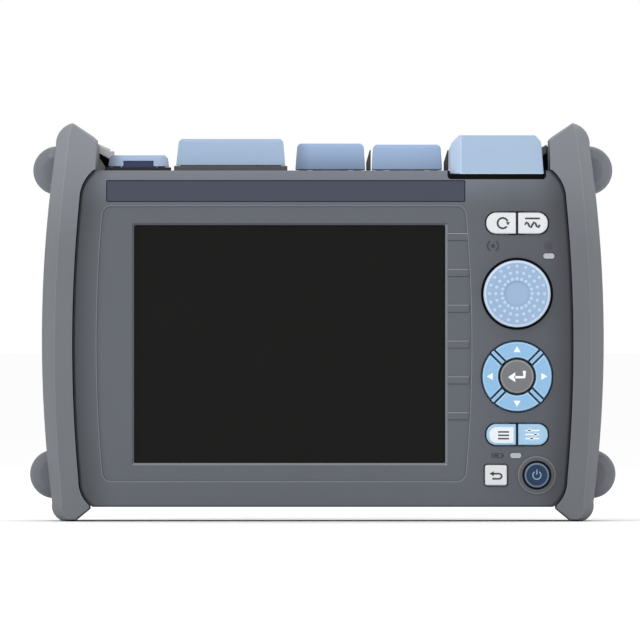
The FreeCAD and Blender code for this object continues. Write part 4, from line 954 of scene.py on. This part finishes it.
@dataclass
class SignPainter:
    """Lays thin printed signs on faces that look towards -Y."""

    shop: Workshop
    film: float = 0.05 * MM
    sink: float = 0.06 * MM

    def lay(self, name: str, sign: Sign, node: str, centre: Vector, half: Point, finish: Moulded | Metal,
            turn: float = 0.0) -> bpy.types.Object:
        """Make one sign.

        Args:
            name: The piece's name.
            sign: The pictogram.
            node: The node that carries it.
            centre: Its middle on the carrying face, in metres.
            half: Half its width and half its height.
            finish: Its ink.
            turn: Clockwise turn in degrees.

        Returns:
            The sign.
        """
        made = bmesh.new()
        angle = math.radians(-turn)
        for stroke in drawing(sign):
            faces = []
            for outline in stroke:
                corners = []
                for x, z in outline:
                    px = x * half[0] * math.cos(angle) - z * half[1] * math.sin(angle)
                    pz = x * half[0] * math.sin(angle) + z * half[1] * math.cos(angle)
                    corners.append(made.verts.new((centre.x + px, centre.y + self.sink, centre.z + pz)))
                faces.append(made.faces.new(corners))
            verts = list({v for face in faces for v in face.verts})
            bmesh.ops.remove_doubles(made, verts=verts, dist=0.001 * MM)
        lifted = bmesh.ops.extrude_face_region(made, geom=made.faces[:])
        verts = [item for item in lifted["geom"] if isinstance(item, bmesh.types.BMVert)]
        bmesh.ops.translate(made, verts=verts, vec=(0.0, -self.sink - self.film, 0.0))
        bmesh.ops.recalc_face_normals(made, faces=made.faces[:])
        shown = self.shop.piece(name, made, 30.0)
        return self.shop.mount(shown, node, finish)


def front_of(node: str) -> Vector:
    """The middle of a node's foremost plane, in metres."""
    low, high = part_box(node)
    return Vector(((low.x + high.x) / 2.0, low.y, (low.z + high.z) / 2.0))


# ---------------------------------------------------------------- case
@dataclass
class Housing:
    """The two halves of the case and the bare name strip."""

    shop: Workshop
    edge: float = 0.22 * MM
    strip_edge: float = 0.2 * MM
    bead: float = 0.52 * MM
    rib_edge: float = 0.3 * MM
    collar_edge: float = 0.12 * MM
    field_line: Zone = Zone(mm(-85.5, -31.05, 14.0), mm(56.5, -30.95, 118.5))
    rib_line: Zone = Zone(mm(45.0, -30.8, 20.0), mm(57.0, -30.7, 112.0))
    collar_line: Zone = Zone(mm(70.0, -32.0, 8.0), mm(90.0, -31.8, 27.0), ring=mm(80.0, 17.3, 5.0, 5.6))

    def build(self) -> None:
        """Make the halves with their softened edges, painted highlights on the beads and ribs, and painted
        shade in the wells and seams.
        """
        front = self.shop.loose_copy("front_case")
        # The bead's rounding gets the painted highlight.
        self.shop.soften(front, self.bead, 3, self.field_line.edge, paint=1)
        self.shop.soften(front, self.rib_edge, 2, self.rib_line.edge)
        # The collar bore's rounding gets painted shade.
        self.shop.soften(front, self.collar_edge, 2, self.collar_line.edge, paint=2)
        self.shop.soften(front, self.edge, 2, sharper=46.0)
        self.shop.painted("front_case", "front_shell", front, self.front_paints())
        self.shop.refined("rear_case", "rear_shell", self.edge, 2)
        # The name strip's rounding gets painted shade.
        self.shop.refined("name_strip", "name_inlay", self.strip_edge, 2,
                          paints=(Paint(STRIP_EDGE_PAINTED_SHADE),), paint=1)

    @staticmethod
    def front_paints() -> tuple[Paint, ...]:
        """The second finishes of the front half: painted highlights and painted shade."""
        walls = Zone(mm(80.0, -30.9, 0.0), mm(110.0, 40.0, 130.6), least=-0.8, mirrored=True)
        holes = Zone(mm(57.0, -31.0, 8.0), mm(92.0, -20.0, 120.0), least=-0.8)
        floors = Zone(mm(57.0, -30.2, 8.0), mm(92.0, -20.0, 120.0))
        pocket = Zone(mm(-83.0, -31.0, 118.7), mm(55.0, -29.0, 128.8), least=-0.97)
        sill = Zone(mm(-72.0, -30.5, 20.0), mm(47.0, -29.0, 22.5), (0.0, 0.0, 1.0), 0.3)
        jamb = Zone(mm(45.0, -30.5, 22.0), mm(47.0, -29.0, 111.0), (-1.0, 0.0, 0.0), 0.3)
        rib_top_painted_highlight = Zone(mm(45.5, -30.8, 20.0), mm(55.5, -30.3, 112.0), (0.0, 0.0, 1.0), 0.3)
        rib_low = Zone(mm(45.5, -30.8, 20.0), mm(55.5, -30.3, 112.0), (0.0, 0.0, -1.0), 0.3)
        collar = Zone(mm(70.0, -32.0, 8.0), mm(90.0, -31.1, 27.0), least=-0.97,
                      ring=mm(80.0, 17.3, 6.3, 7.3))
        return (
            Paint(BEAD_PAINTED_HIGHLIGHT, (sill, jamb)),
            Paint(WELL_PAINTED_SHADE, (holes, floors)),
            Paint(RIB_PAINTED_HIGHLIGHT, (rib_top_painted_highlight,)),
            Paint(RIB_PAINTED_SHADOW, (rib_low,)),
            Paint(SEAM_PAINTED_SHADE, (walls,)),
            Paint(STRIP_EDGE_PAINTED_SHADE, (pocket,)),
            Paint(COLLAR_PAINTED_HIGHLIGHT, (collar,)),
        )


@dataclass
class Guards:
    """The elastomer rails on both sides."""

    shop: Workshop
    rim: float = 1.1 * MM
    ridge: float = 0.45 * MM
    groove: float = 0.18 * MM
    groove_zone: float = 19.0 * MM
    skin: float = 2.2 * MM
    face: Zone = Zone(mm(70.0, -33.05, 1.0), mm(110.0, -32.95, 150.0), mirrored=True)

    def build(self) -> None:
        """Make both rails."""
        for node, name, inward in (("right_guard", "right_rail", -1.0), ("left_guard", "left_rail", 1.0)):
            made = self.shop.loose_copy(node)
            # The ridge's rounding gets the painted highlight.
            self.shop.soften(made, self.ridge, 2, self.is_ridge, 8.0, 1)
            self.shop.soften(made, self.rim, 3, self.is_rim)
            self.shop.soften(made, self.groove, 1, self.is_groove, 50.0)
            self.shop.painted(node, name, made, self.paints(inward), smooth=40.0)

    @staticmethod
    def paints(inward: float) -> tuple[Paint, ...]:
        """The second finishes of a rail.

        Args:
            inward: Which way along X the instrument's middle lies.

        Returns:
            The painted highlight on the ridge, painted shade on the bumps and painted shade in the seam.
        """
        high = Zone(mm(102.4, -20.0, 120.0), mm(112.0, 20.0, 142.0),
                    ring=mm(99.4, 131.3, 0.0, 9.35), mirrored=True)
        low = Zone(mm(102.4, -20.0, 7.0), mm(112.0, 20.0, 28.0),
                   ring=mm(100.6, 17.6, 0.0, 9.35), mirrored=True)
        seam = Zone(mm(80.0, -32.6, 5.0), mm(96.0, 33.0, 131.5), (inward, 0.0, 0.0), 0.2, mirrored=True)
        return (Paint(RIDGE_PAINTED_HIGHLIGHT), Paint(BUMP_PAINTED_SHADE, (high, low)), Paint(SEAM_PAINTED_SHADE, (seam,)))

    def is_ridge(self, edge: bmesh.types.BMEdge) -> bool:
        """Whether an edge is the ridge between the front face and the slanted outer band."""
        return self.face.edge(edge) and all(face.normal.y < -0.3 for face in edge.link_faces)

    def is_groove(self, edge: bmesh.types.BMEdge) -> bool:
        """Whether an edge belongs to the grip grooves."""
        return all(abs(v.co.y) < self.groove_zone for v in edge.verts)

    def is_rim(self, edge: bmesh.types.BMEdge) -> bool:
        """Whether an edge belongs to the outer rims and horns."""
        low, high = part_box("front_case")
        if any(abs(v.co.y) < self.groove_zone for v in edge.verts) or self.face.edge(edge):
            return False
        inner = all(abs(v.co.x) < high.x + self.skin and low.z < v.co.z < high.z for v in edge.verts)
        return not inner


@dataclass
class Screen:
    """The tinted window and the panel behind it."""

    shop: Workshop
    edge: float = 0.15 * MM

    def build(self) -> None:
        """Dress the panel and soften the window."""
        self.shop.refined("display_window", "screen_window", self.edge, 2)
        self.shop.dress("display_module")


@dataclass
class Keys:
    """The small keys, their signs, the two lamps and the faint marks beside them."""

    shop: Workshop
    painter: SignPainter
    edge: float = 0.3 * MM
    panel_edge: float = 0.62 * MM
    panel_shift: tuple[float, ...] = mm(0.12, 0.0, -0.18)
    power_proud: float = 1.2 * MM
    flat: float = 0.01 * MM

    def build(self) -> None:
        """Make every key cap, sign and lamp."""
        for node in ("real_time_key", "average_key", "setup_key", "escape_key"):
            self.shop.refined(node, node.replace("_key", "_cap"), self.edge, 3)
        self.menu_cap()
        trim = Paint(SILVER_TRIM, (Zone(least=-0.97),))
        self.shop.refined("power_key", "power_cap", self.edge, 3, paints=(trim,), paint=1)
        tags = (
            ("real_time_key", Sign.CYCLE, DARK_PRINT, (2.7, 2.7), (0.6, 0.0)),
            ("average_key", Sign.AVERAGE, DARK_PRINT, (2.9, 2.5), (-0.2, 0.0)),
            ("menu_key", Sign.MENU, DARK_PRINT, (2.4, 2.1), (0.9, -0.3)),
            ("setup_key", Sign.SLIDERS, WHITE_PRINT, (2.9, 2.5), (-0.2, 0.0)),
            ("escape_key", Sign.BACK, DARK_PRINT, (2.6, 2.4), (0.2, -0.4)),
            ("power_key", Sign.POWER, POWER_PRINT, (2.1, 2.1), (0.0, 0.0)),
        )
        for node, sign, finish, half, shift in tags:
            place = front_of(node) + Vector((shift[0] * MM, 0.0, shift[1] * MM))
            self.painter.lay(node.replace("_key", "_sign"), sign, node, place, mm(*half), finish)
        for node in ("laser_lamp", "charge_lamp"):
            self.shop.refined(node, node.replace("_lamp", "_lens"), self.edge, 3)
        marks = (
            ("knob_mark", Sign.TURN_PUSH, (63.6, 103.0), (2.4, 2.4)),
            ("laser_mark", Sign.BURST, (84.4, 103.0), (1.7, 1.7)),
            ("charge_mark", Sign.BATTERY, (65.4, 24.6), (2.3, 1.5)),
        )
        for name, sign, spot, half in marks:
            place = Vector((spot[0] * MM, self.face_of_case, spot[1] * MM))
            self.painter.lay(name, sign, "front_case", place, mm(*half), FAINT_PRINT)

    @property
    def face_of_case(self) -> float:
        """Depth of the case's flat face, which the power key stands out from."""
        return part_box("power_key")[0].y + self.power_proud

    def menu_cap(self) -> None:
        """The menu key: a pale blue cap with a white panel set towards its lower right."""
        made = self.shop.loose_copy("menu_key")
        front = front_of("menu_key").y
        made.normal_update()
        top = Zone((-1.0, front - self.flat, -1.0), (1.0, front + self.flat, 1.0), (0.0, -1.0, 0.0), 0.99)
        faces = [face for face in made.faces if top.face(face)]
        bmesh.ops.inset_region(made, faces=faces, thickness=self.panel_edge, use_even_offset=True)
        inner = {corner for face in faces for corner in face.verts}
        bmesh.ops.translate(made, verts=list(inner), vec=self.panel_shift)
        for face in faces:
            face.material_index = 1
        self.shop.soften(made, self.edge, 3)
        self.shop.painted("menu_key", "menu_cap", made, (Paint(MENU_PANEL),), FINISHES[Slot.BLUE_KEY])


@dataclass
class ArrowPad:
    """The four arrow keys, the fixed cross between them and the round key."""

    shop: Workshop
    painter: SignPainter
    edge: float = 0.22 * MM
    reach: float = 10.0 * MM
    half: float = 1.55 * MM

    def build(self) -> None:
        """Make the pad with its signs."""
        # Painted highlight on the rounded edges of the arrow keys and of the cross between them.
        rim = (Paint(ARROW_RIM_PAINTED_HIGHLIGHT),)
        for node in ("up_key", "right_key", "down_key", "left_key"):
            self.shop.refined(node, node.replace("_key", "_cap"), self.edge, 2, paints=rim, paint=1)
        # Painted highlight on the rounded edge of the round key.
        self.shop.refined("enter_key", "enter_cap", self.edge, 2, paints=(Paint(ENTER_RIM_PAINTED_HIGHLIGHT),), paint=1)
        # Painted shade in the gaps of the pad: on the frame's floor and on all faces that don't face the
        # front.
        seam = Paint(PAD_SEAM_PAINTED_SHADE, (Zone(mm(50.0, -30.0, 30.0), mm(95.0, 0.0, 80.0)), Zone(least=-0.3)))
        self.shop.refined("pad_frame", "pad_cross", self.edge, 2, paints=(*rim, seam), paint=1, whole=False)
        centre = front_of("enter_key")
        turns = (("up_key", 0.0), ("right_key", 90.0), ("down_key", 180.0), ("left_key", 270.0))
        for node, turn in turns:
            angle = math.radians(turn)
            off = (self.reach * math.sin(angle), self.reach * math.cos(angle))
            place = Vector((centre.x + off[0], front_of(node).y, centre.z + off[1]))
            self.painter.lay(node.replace("_key", "_sign"), Sign.TRIANGLE, node, place,
                             (self.half, self.half), WHITE_PRINT, turn)
        self.painter.lay("enter_sign", Sign.RETURN, "enter_key", centre, mm(3.4, 2.8), WHITE_PRINT)


@dataclass
class Knob:
    """The turning and pressing knob with rings of raised dots."""

    shop: Workshop
    edge: float = 0.3 * MM
    dots: int = 20
    rings: int = 3
    first: float = 5.6 * MM
    pitch: float = 2.35 * MM
    size: tuple[float, ...] = mm(0.66, 0.66, 0.22)
    rim: tuple[float, ...] = mm(11.6, 12.7)

    def build(self) -> None:
        """Make the knob and dress what is behind it."""
        centre = front_of("knob")
        # Painted highlight on the knob's outer rim.
        rim = Zone(ring=(centre.x, centre.z, *self.rim), least=-0.97)
        self.shop.refined("knob", "knob_cap", self.edge, 3, paints=(Paint(KNOB_RIM_PAINTED_HIGHLIGHT, (rim,)),))
        # The raised dots carry a painted highlight.
        Repeat("knob_dots", centre, self.dots, self.rings, self.first, self.pitch, self.size).build(
            self.shop, "knob", KNOB_DOTS_PAINTED_HIGHLIGHT)
        for node in ("encoder_shaft", "encoder_rotor", "encoder_body"):
            self.shop.dress(node)


@dataclass
class Ports:
    """The deck on top, its connectors and their hinged covers."""

    shop: Workshop
    cover_edge: float = 0.55 * MM
    edge: float = 0.15 * MM
    recess_depth: float = 1.45 * MM
    recess_size: tuple[float, ...] = mm(12.0, 0.4, 3.6)
    lip: tuple[float, ...] = mm(2.0, 0.7)
    facet: tuple[float, ...] = mm(5.0, 6.0)
    facet_margin: float = 1.0 * MM

    def build(self) -> None:
        """Make the deck, the covers and the connectors."""
        plinth = Zone(mm(-56.0, -32.0, 131.3), mm(-10.0, 40.0, 134.2))
        fins = Zone(mm(10.0, -40.0, 131.4), mm(50.0, 40.0, 142.0), (0.0, 1.0, 0.0), -2.0, -0.8)
        paints = (Paint(PLINTH, (plinth,)), Paint(FIN, (fins,)))
        self.shop.refined("port_deck", "deck", self.edge, 1, paints=paints)
        # Each cover gets its copy of the blue, with its painted light and shade.
        for node, finish in COVER_PAINTED_SHADE_COPIES.items():
            paints = self.tall_paints() if node == "otdr_port_cover" else ()
            self.shop.refined(node, node.replace("_cover", "_flap"), self.cover_edge, 3,
                              paints=paints, finish=finish, whole=node != "usb_cover")
        self.recess()
        for node in ("otdr_port_1", "otdr_port_2", "otdr_sleeve_1", "otdr_sleeve_2", "light_port",
                     "light_sleeve", "meter_port", "usb_socket_1", "usb_socket_2", "small_usb_socket",
                     "dc_jack", "cover_hinge_pins"):
            self.shop.dress(node)

    def tall_paints(self) -> tuple[Paint, ...]:
        """The painted highlight on the lower lip and the painted light on the left facet of the tall cover.
        """
        low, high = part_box("otdr_port_cover")
        lip = Zone(tuple(low), (high.x, low.y + self.lip[0], low.z + self.lip[1]), least=-0.97)
        facet = Zone((low.x, low.y, low.z + self.facet_margin),
                     (low.x + self.facet[0], low.y + self.facet[1], high.z - self.facet_margin),
                     (-1.0, 0.0, 0.0), 0.12, 0.97)
        return (Paint(COVER_LIP_PAINTED_HIGHLIGHT, (lip,)), Paint(FACET_PAINTED_LIGHT, (facet,)))

    def recess(self) -> None:
        """A dark plate in painted shade on the floor of the finger pull in the low cover."""
        low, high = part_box("dc_cover")
        height = low.z + self.recess_size[2] / 2.0
        middle = Vector(((low.x + high.x) / 2.0, low.y + self.recess_depth, height))
        sized = Matrix.Translation(middle) @ Matrix.Diagonal((*self.recess_size, 1.0))
        made = bmesh.new()
        bmesh.ops.create_cube(made, size=1.0, matrix=sized)
        self.shop.soften(made, self.edge, 2)
        shown = self.shop.piece("pull_recess_painted_shade", made)
        self.shop.mount(shown, "dc_cover", PULL_PAINTED_SHADE)


@dataclass
class Lugs:
    """The strap lugs beside the horns."""

    shop: Workshop
    edge: float = 0.3 * MM
    web_edge: float = 0.15 * MM
    web_side: tuple[float, ...] = mm(79.9, 85.8)
    web_depth: tuple[float, ...] = mm(30.7, 32.1)
    web_foot: float = 131.2 * MM
    web_head: tuple[float, ...] = mm(138.7, 141.3)
    web_lift: float = 0.9 * MM

    def build(self) -> None:
        """Make both lugs: a slanted bar on a post before a fence painted dark as shade, the left lug in
        painted light and the right in painted shade.
        """
        post = Zone(mm(75.0, 0.0, 131.0), mm(80.3, 40.0, 135.4), mirrored=True)
        fence = Zone(mm(75.0, 27.0, 131.0), mm(86.0, 40.0, 145.0), mirrored=True)
        # The right post and both fences get painted shade.
        for side, finish, dark in (("right", LUG_PAINTED_SHADE, (post, fence)), ("left", LUG_PAINTED_LIGHT, (fence,))):
            self.shop.refined("strap_lug_" + side, side + "_lug", self.edge, 3,
                              paints=(Paint(WELL_PAINTED_SHADE, dark),), finish=finish)
        # The right web is a dark plate standing for the shade behind the bar; the left web is in painted
        # light.
        self.web("right", 1.0, 0.0, WELL_PAINTED_SHADE)
        self.web("left", -1.0, self.web_lift, LUG_PAINTED_LIGHT)

    def web(self, side: str, turn: float, lift: float, finish: Finish) -> None:
        """Close a lug's back between its post and the horn, behind the strap's way, with a plate in painted
        light on the left and in painted shade on the right.

        Args:
            side: The lug's side.
            turn: 1 for the right lug and -1 for the left one.
            lift: How far the web stands above the lug's bar.
            finish: The web's finish.
        """
        (inner, outer), (low, high) = self.web_side, self.web_head
        foot = self.web_foot
        outline = ((inner, foot), (outer, foot), (outer, high + lift), (inner, low + lift))
        made = bmesh.new()
        corners = [made.verts.new((turn * x, self.web_depth[0], z)) for x, z in outline]
        face = made.faces.new(corners)
        lifted = bmesh.ops.extrude_face_region(made, geom=[face])
        corners = [item for item in lifted["geom"] if isinstance(item, bmesh.types.BMVert)]
        bmesh.ops.translate(made, verts=corners, vec=(0.0, self.web_depth[1] - self.web_depth[0], 0.0))
        bmesh.ops.recalc_face_normals(made, faces=made.faces[:])
        self.shop.soften(made, self.web_edge, 2)
        self.shop.mount(self.shop.piece(side + "_lug_web", made), "strap_lug_" + side, finish)


@dataclass
class Rear:
    """The stand, the battery door and the screws."""

    shop: Workshop
    stand_edge: float = 0.6 * MM
    edge: float = 0.2 * MM

    def build(self) -> None:
        """Make what the back shows."""
        self.shop.refined("tilt_stand", "stand_bail", self.stand_edge, 3)
        self.shop.refined("battery_door", "door_panel", self.edge, 2)
        self.shop.refined("battery_screw", "door_screw", self.edge, 2)
        for node in ("stand_pins", "case_screws", "battery_pack", "battery_contacts"):
            self.shop.dress(node)


@dataclass
class Inside:
    """The boards and the sealed optical unit."""

    shop: Workshop

    def build(self) -> None:
        """Dress the pieces inside the case."""
        for node in ("key_board", "keypad_membrane", "main_board", "optics_module"):
            self.shop.dress(node)


# ---------------------------------------------------------------- studio
@dataclass
class Studio:
    """The camera, the floor and the soft lights."""

    view_width: float = 239.2 * MM
    distance: float = 8.0
    sensor: float = 36.0
    aim: Vector = field(default_factory=lambda: Vector((-1.05 * MM, 0.0, 75.3 * MM)))
    world: float = 1.0
    floor_radius: float = 40.0
    lamp_aim: tuple[float, ...] = (0.0, 0.0, 0.07)

    def build(self) -> None:
        """Set the stage."""
        self.camera()
        self.floor()
        self.sky()
        self.lamp("key", (-1.1, -1.8, 1.6), 1.4, 14.5)
        self.lamp("fill", (1.5, -1.9, 0.6), 1.6, 2.5)
        self.lamp("back", (0.3, 1.6, 1.5), 1.2, 6.0)

    def camera(self) -> None:
        """A long lens, level with the middle of the instrument."""
        low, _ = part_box("front_case")
        data = bpy.data.cameras.new("camera")
        data.sensor_width = self.sensor
        data.lens = self.sensor * self.distance / self.view_width
        data.clip_end = 100.0
        shown = bpy.data.objects.new("camera", data)
        shown.location = (self.aim.x, low.y - self.distance, self.aim.z)
        shown.rotation_euler = (math.radians(90.0), 0.0, 0.0)
        bpy.context.scene.collection.objects.link(shown)
        bpy.context.scene.camera = shown

    def floor(self) -> None:
        """A wide pale floor."""
        made = bmesh.new()
        bmesh.ops.create_circle(made, cap_ends=True, segments=96, radius=self.floor_radius)
        mesh = bpy.data.meshes.new("floor")
        made.to_mesh(mesh)
        made.free()
        shown = bpy.data.objects.new("floor", mesh)
        bpy.context.scene.collection.objects.link(shown)
        finish = Moulded("pale_floor", (252, 252, 253), 0.8, 4.0 * MM, 0.0, 0.002, 0.0)
        mesh.materials.append(finish.material())

    def sky(self) -> None:
        """An even white surround."""
        world = bpy.data.worlds.new("surround")
        world.use_nodes = True
        graph = Graph(world.node_tree)
        light = {"Color": (1.0, 1.0, 1.0, 1.0), "Strength": self.world}
        surface = graph.wire("ShaderNodeBackground", None, light)
        graph.node("ShaderNodeOutputWorld", None, {"Surface": surface})
        bpy.context.scene.world = world

    def lamp(self, name: str, place: tuple[float, float, float], size: float, power: float) -> None:
        """Add one square soft light that faces the instrument.

        Args:
            name: Its name.
            place: Where it hangs, in metres.
            size: Length of its sides.
            power: Its power in watts.
        """
        data = bpy.data.lights.new(name, "AREA")
        data.size = size
        data.energy = power
        shown = bpy.data.objects.new(name, data)
        shown.location = place
        aim = Vector(self.lamp_aim) - Vector(place)
        shown.rotation_euler = aim.to_track_quat("-Z", "Y").to_euler()
        bpy.context.scene.collection.objects.link(shown)


def main() -> None:
    """Load the frame, build each sub-assembly and set the stage."""
    logging.basicConfig(level=logging.INFO, format="%(name)s: %(message)s")
    shop = Workshop(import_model())
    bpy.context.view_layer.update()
    painter = SignPainter(shop)
    assemblies = [
        Housing(shop), Guards(shop), Screen(shop), Keys(shop, painter), ArrowPad(shop, painter),
        Knob(shop), Ports(shop), Lugs(shop), Rear(shop), Inside(shop),
    ]
    for assembly in assemblies:
        assembly.build()
    Studio().build()
    bpy.context.scene.view_settings.view_transform = "Standard"


if __name__ == "__main__":
    main()
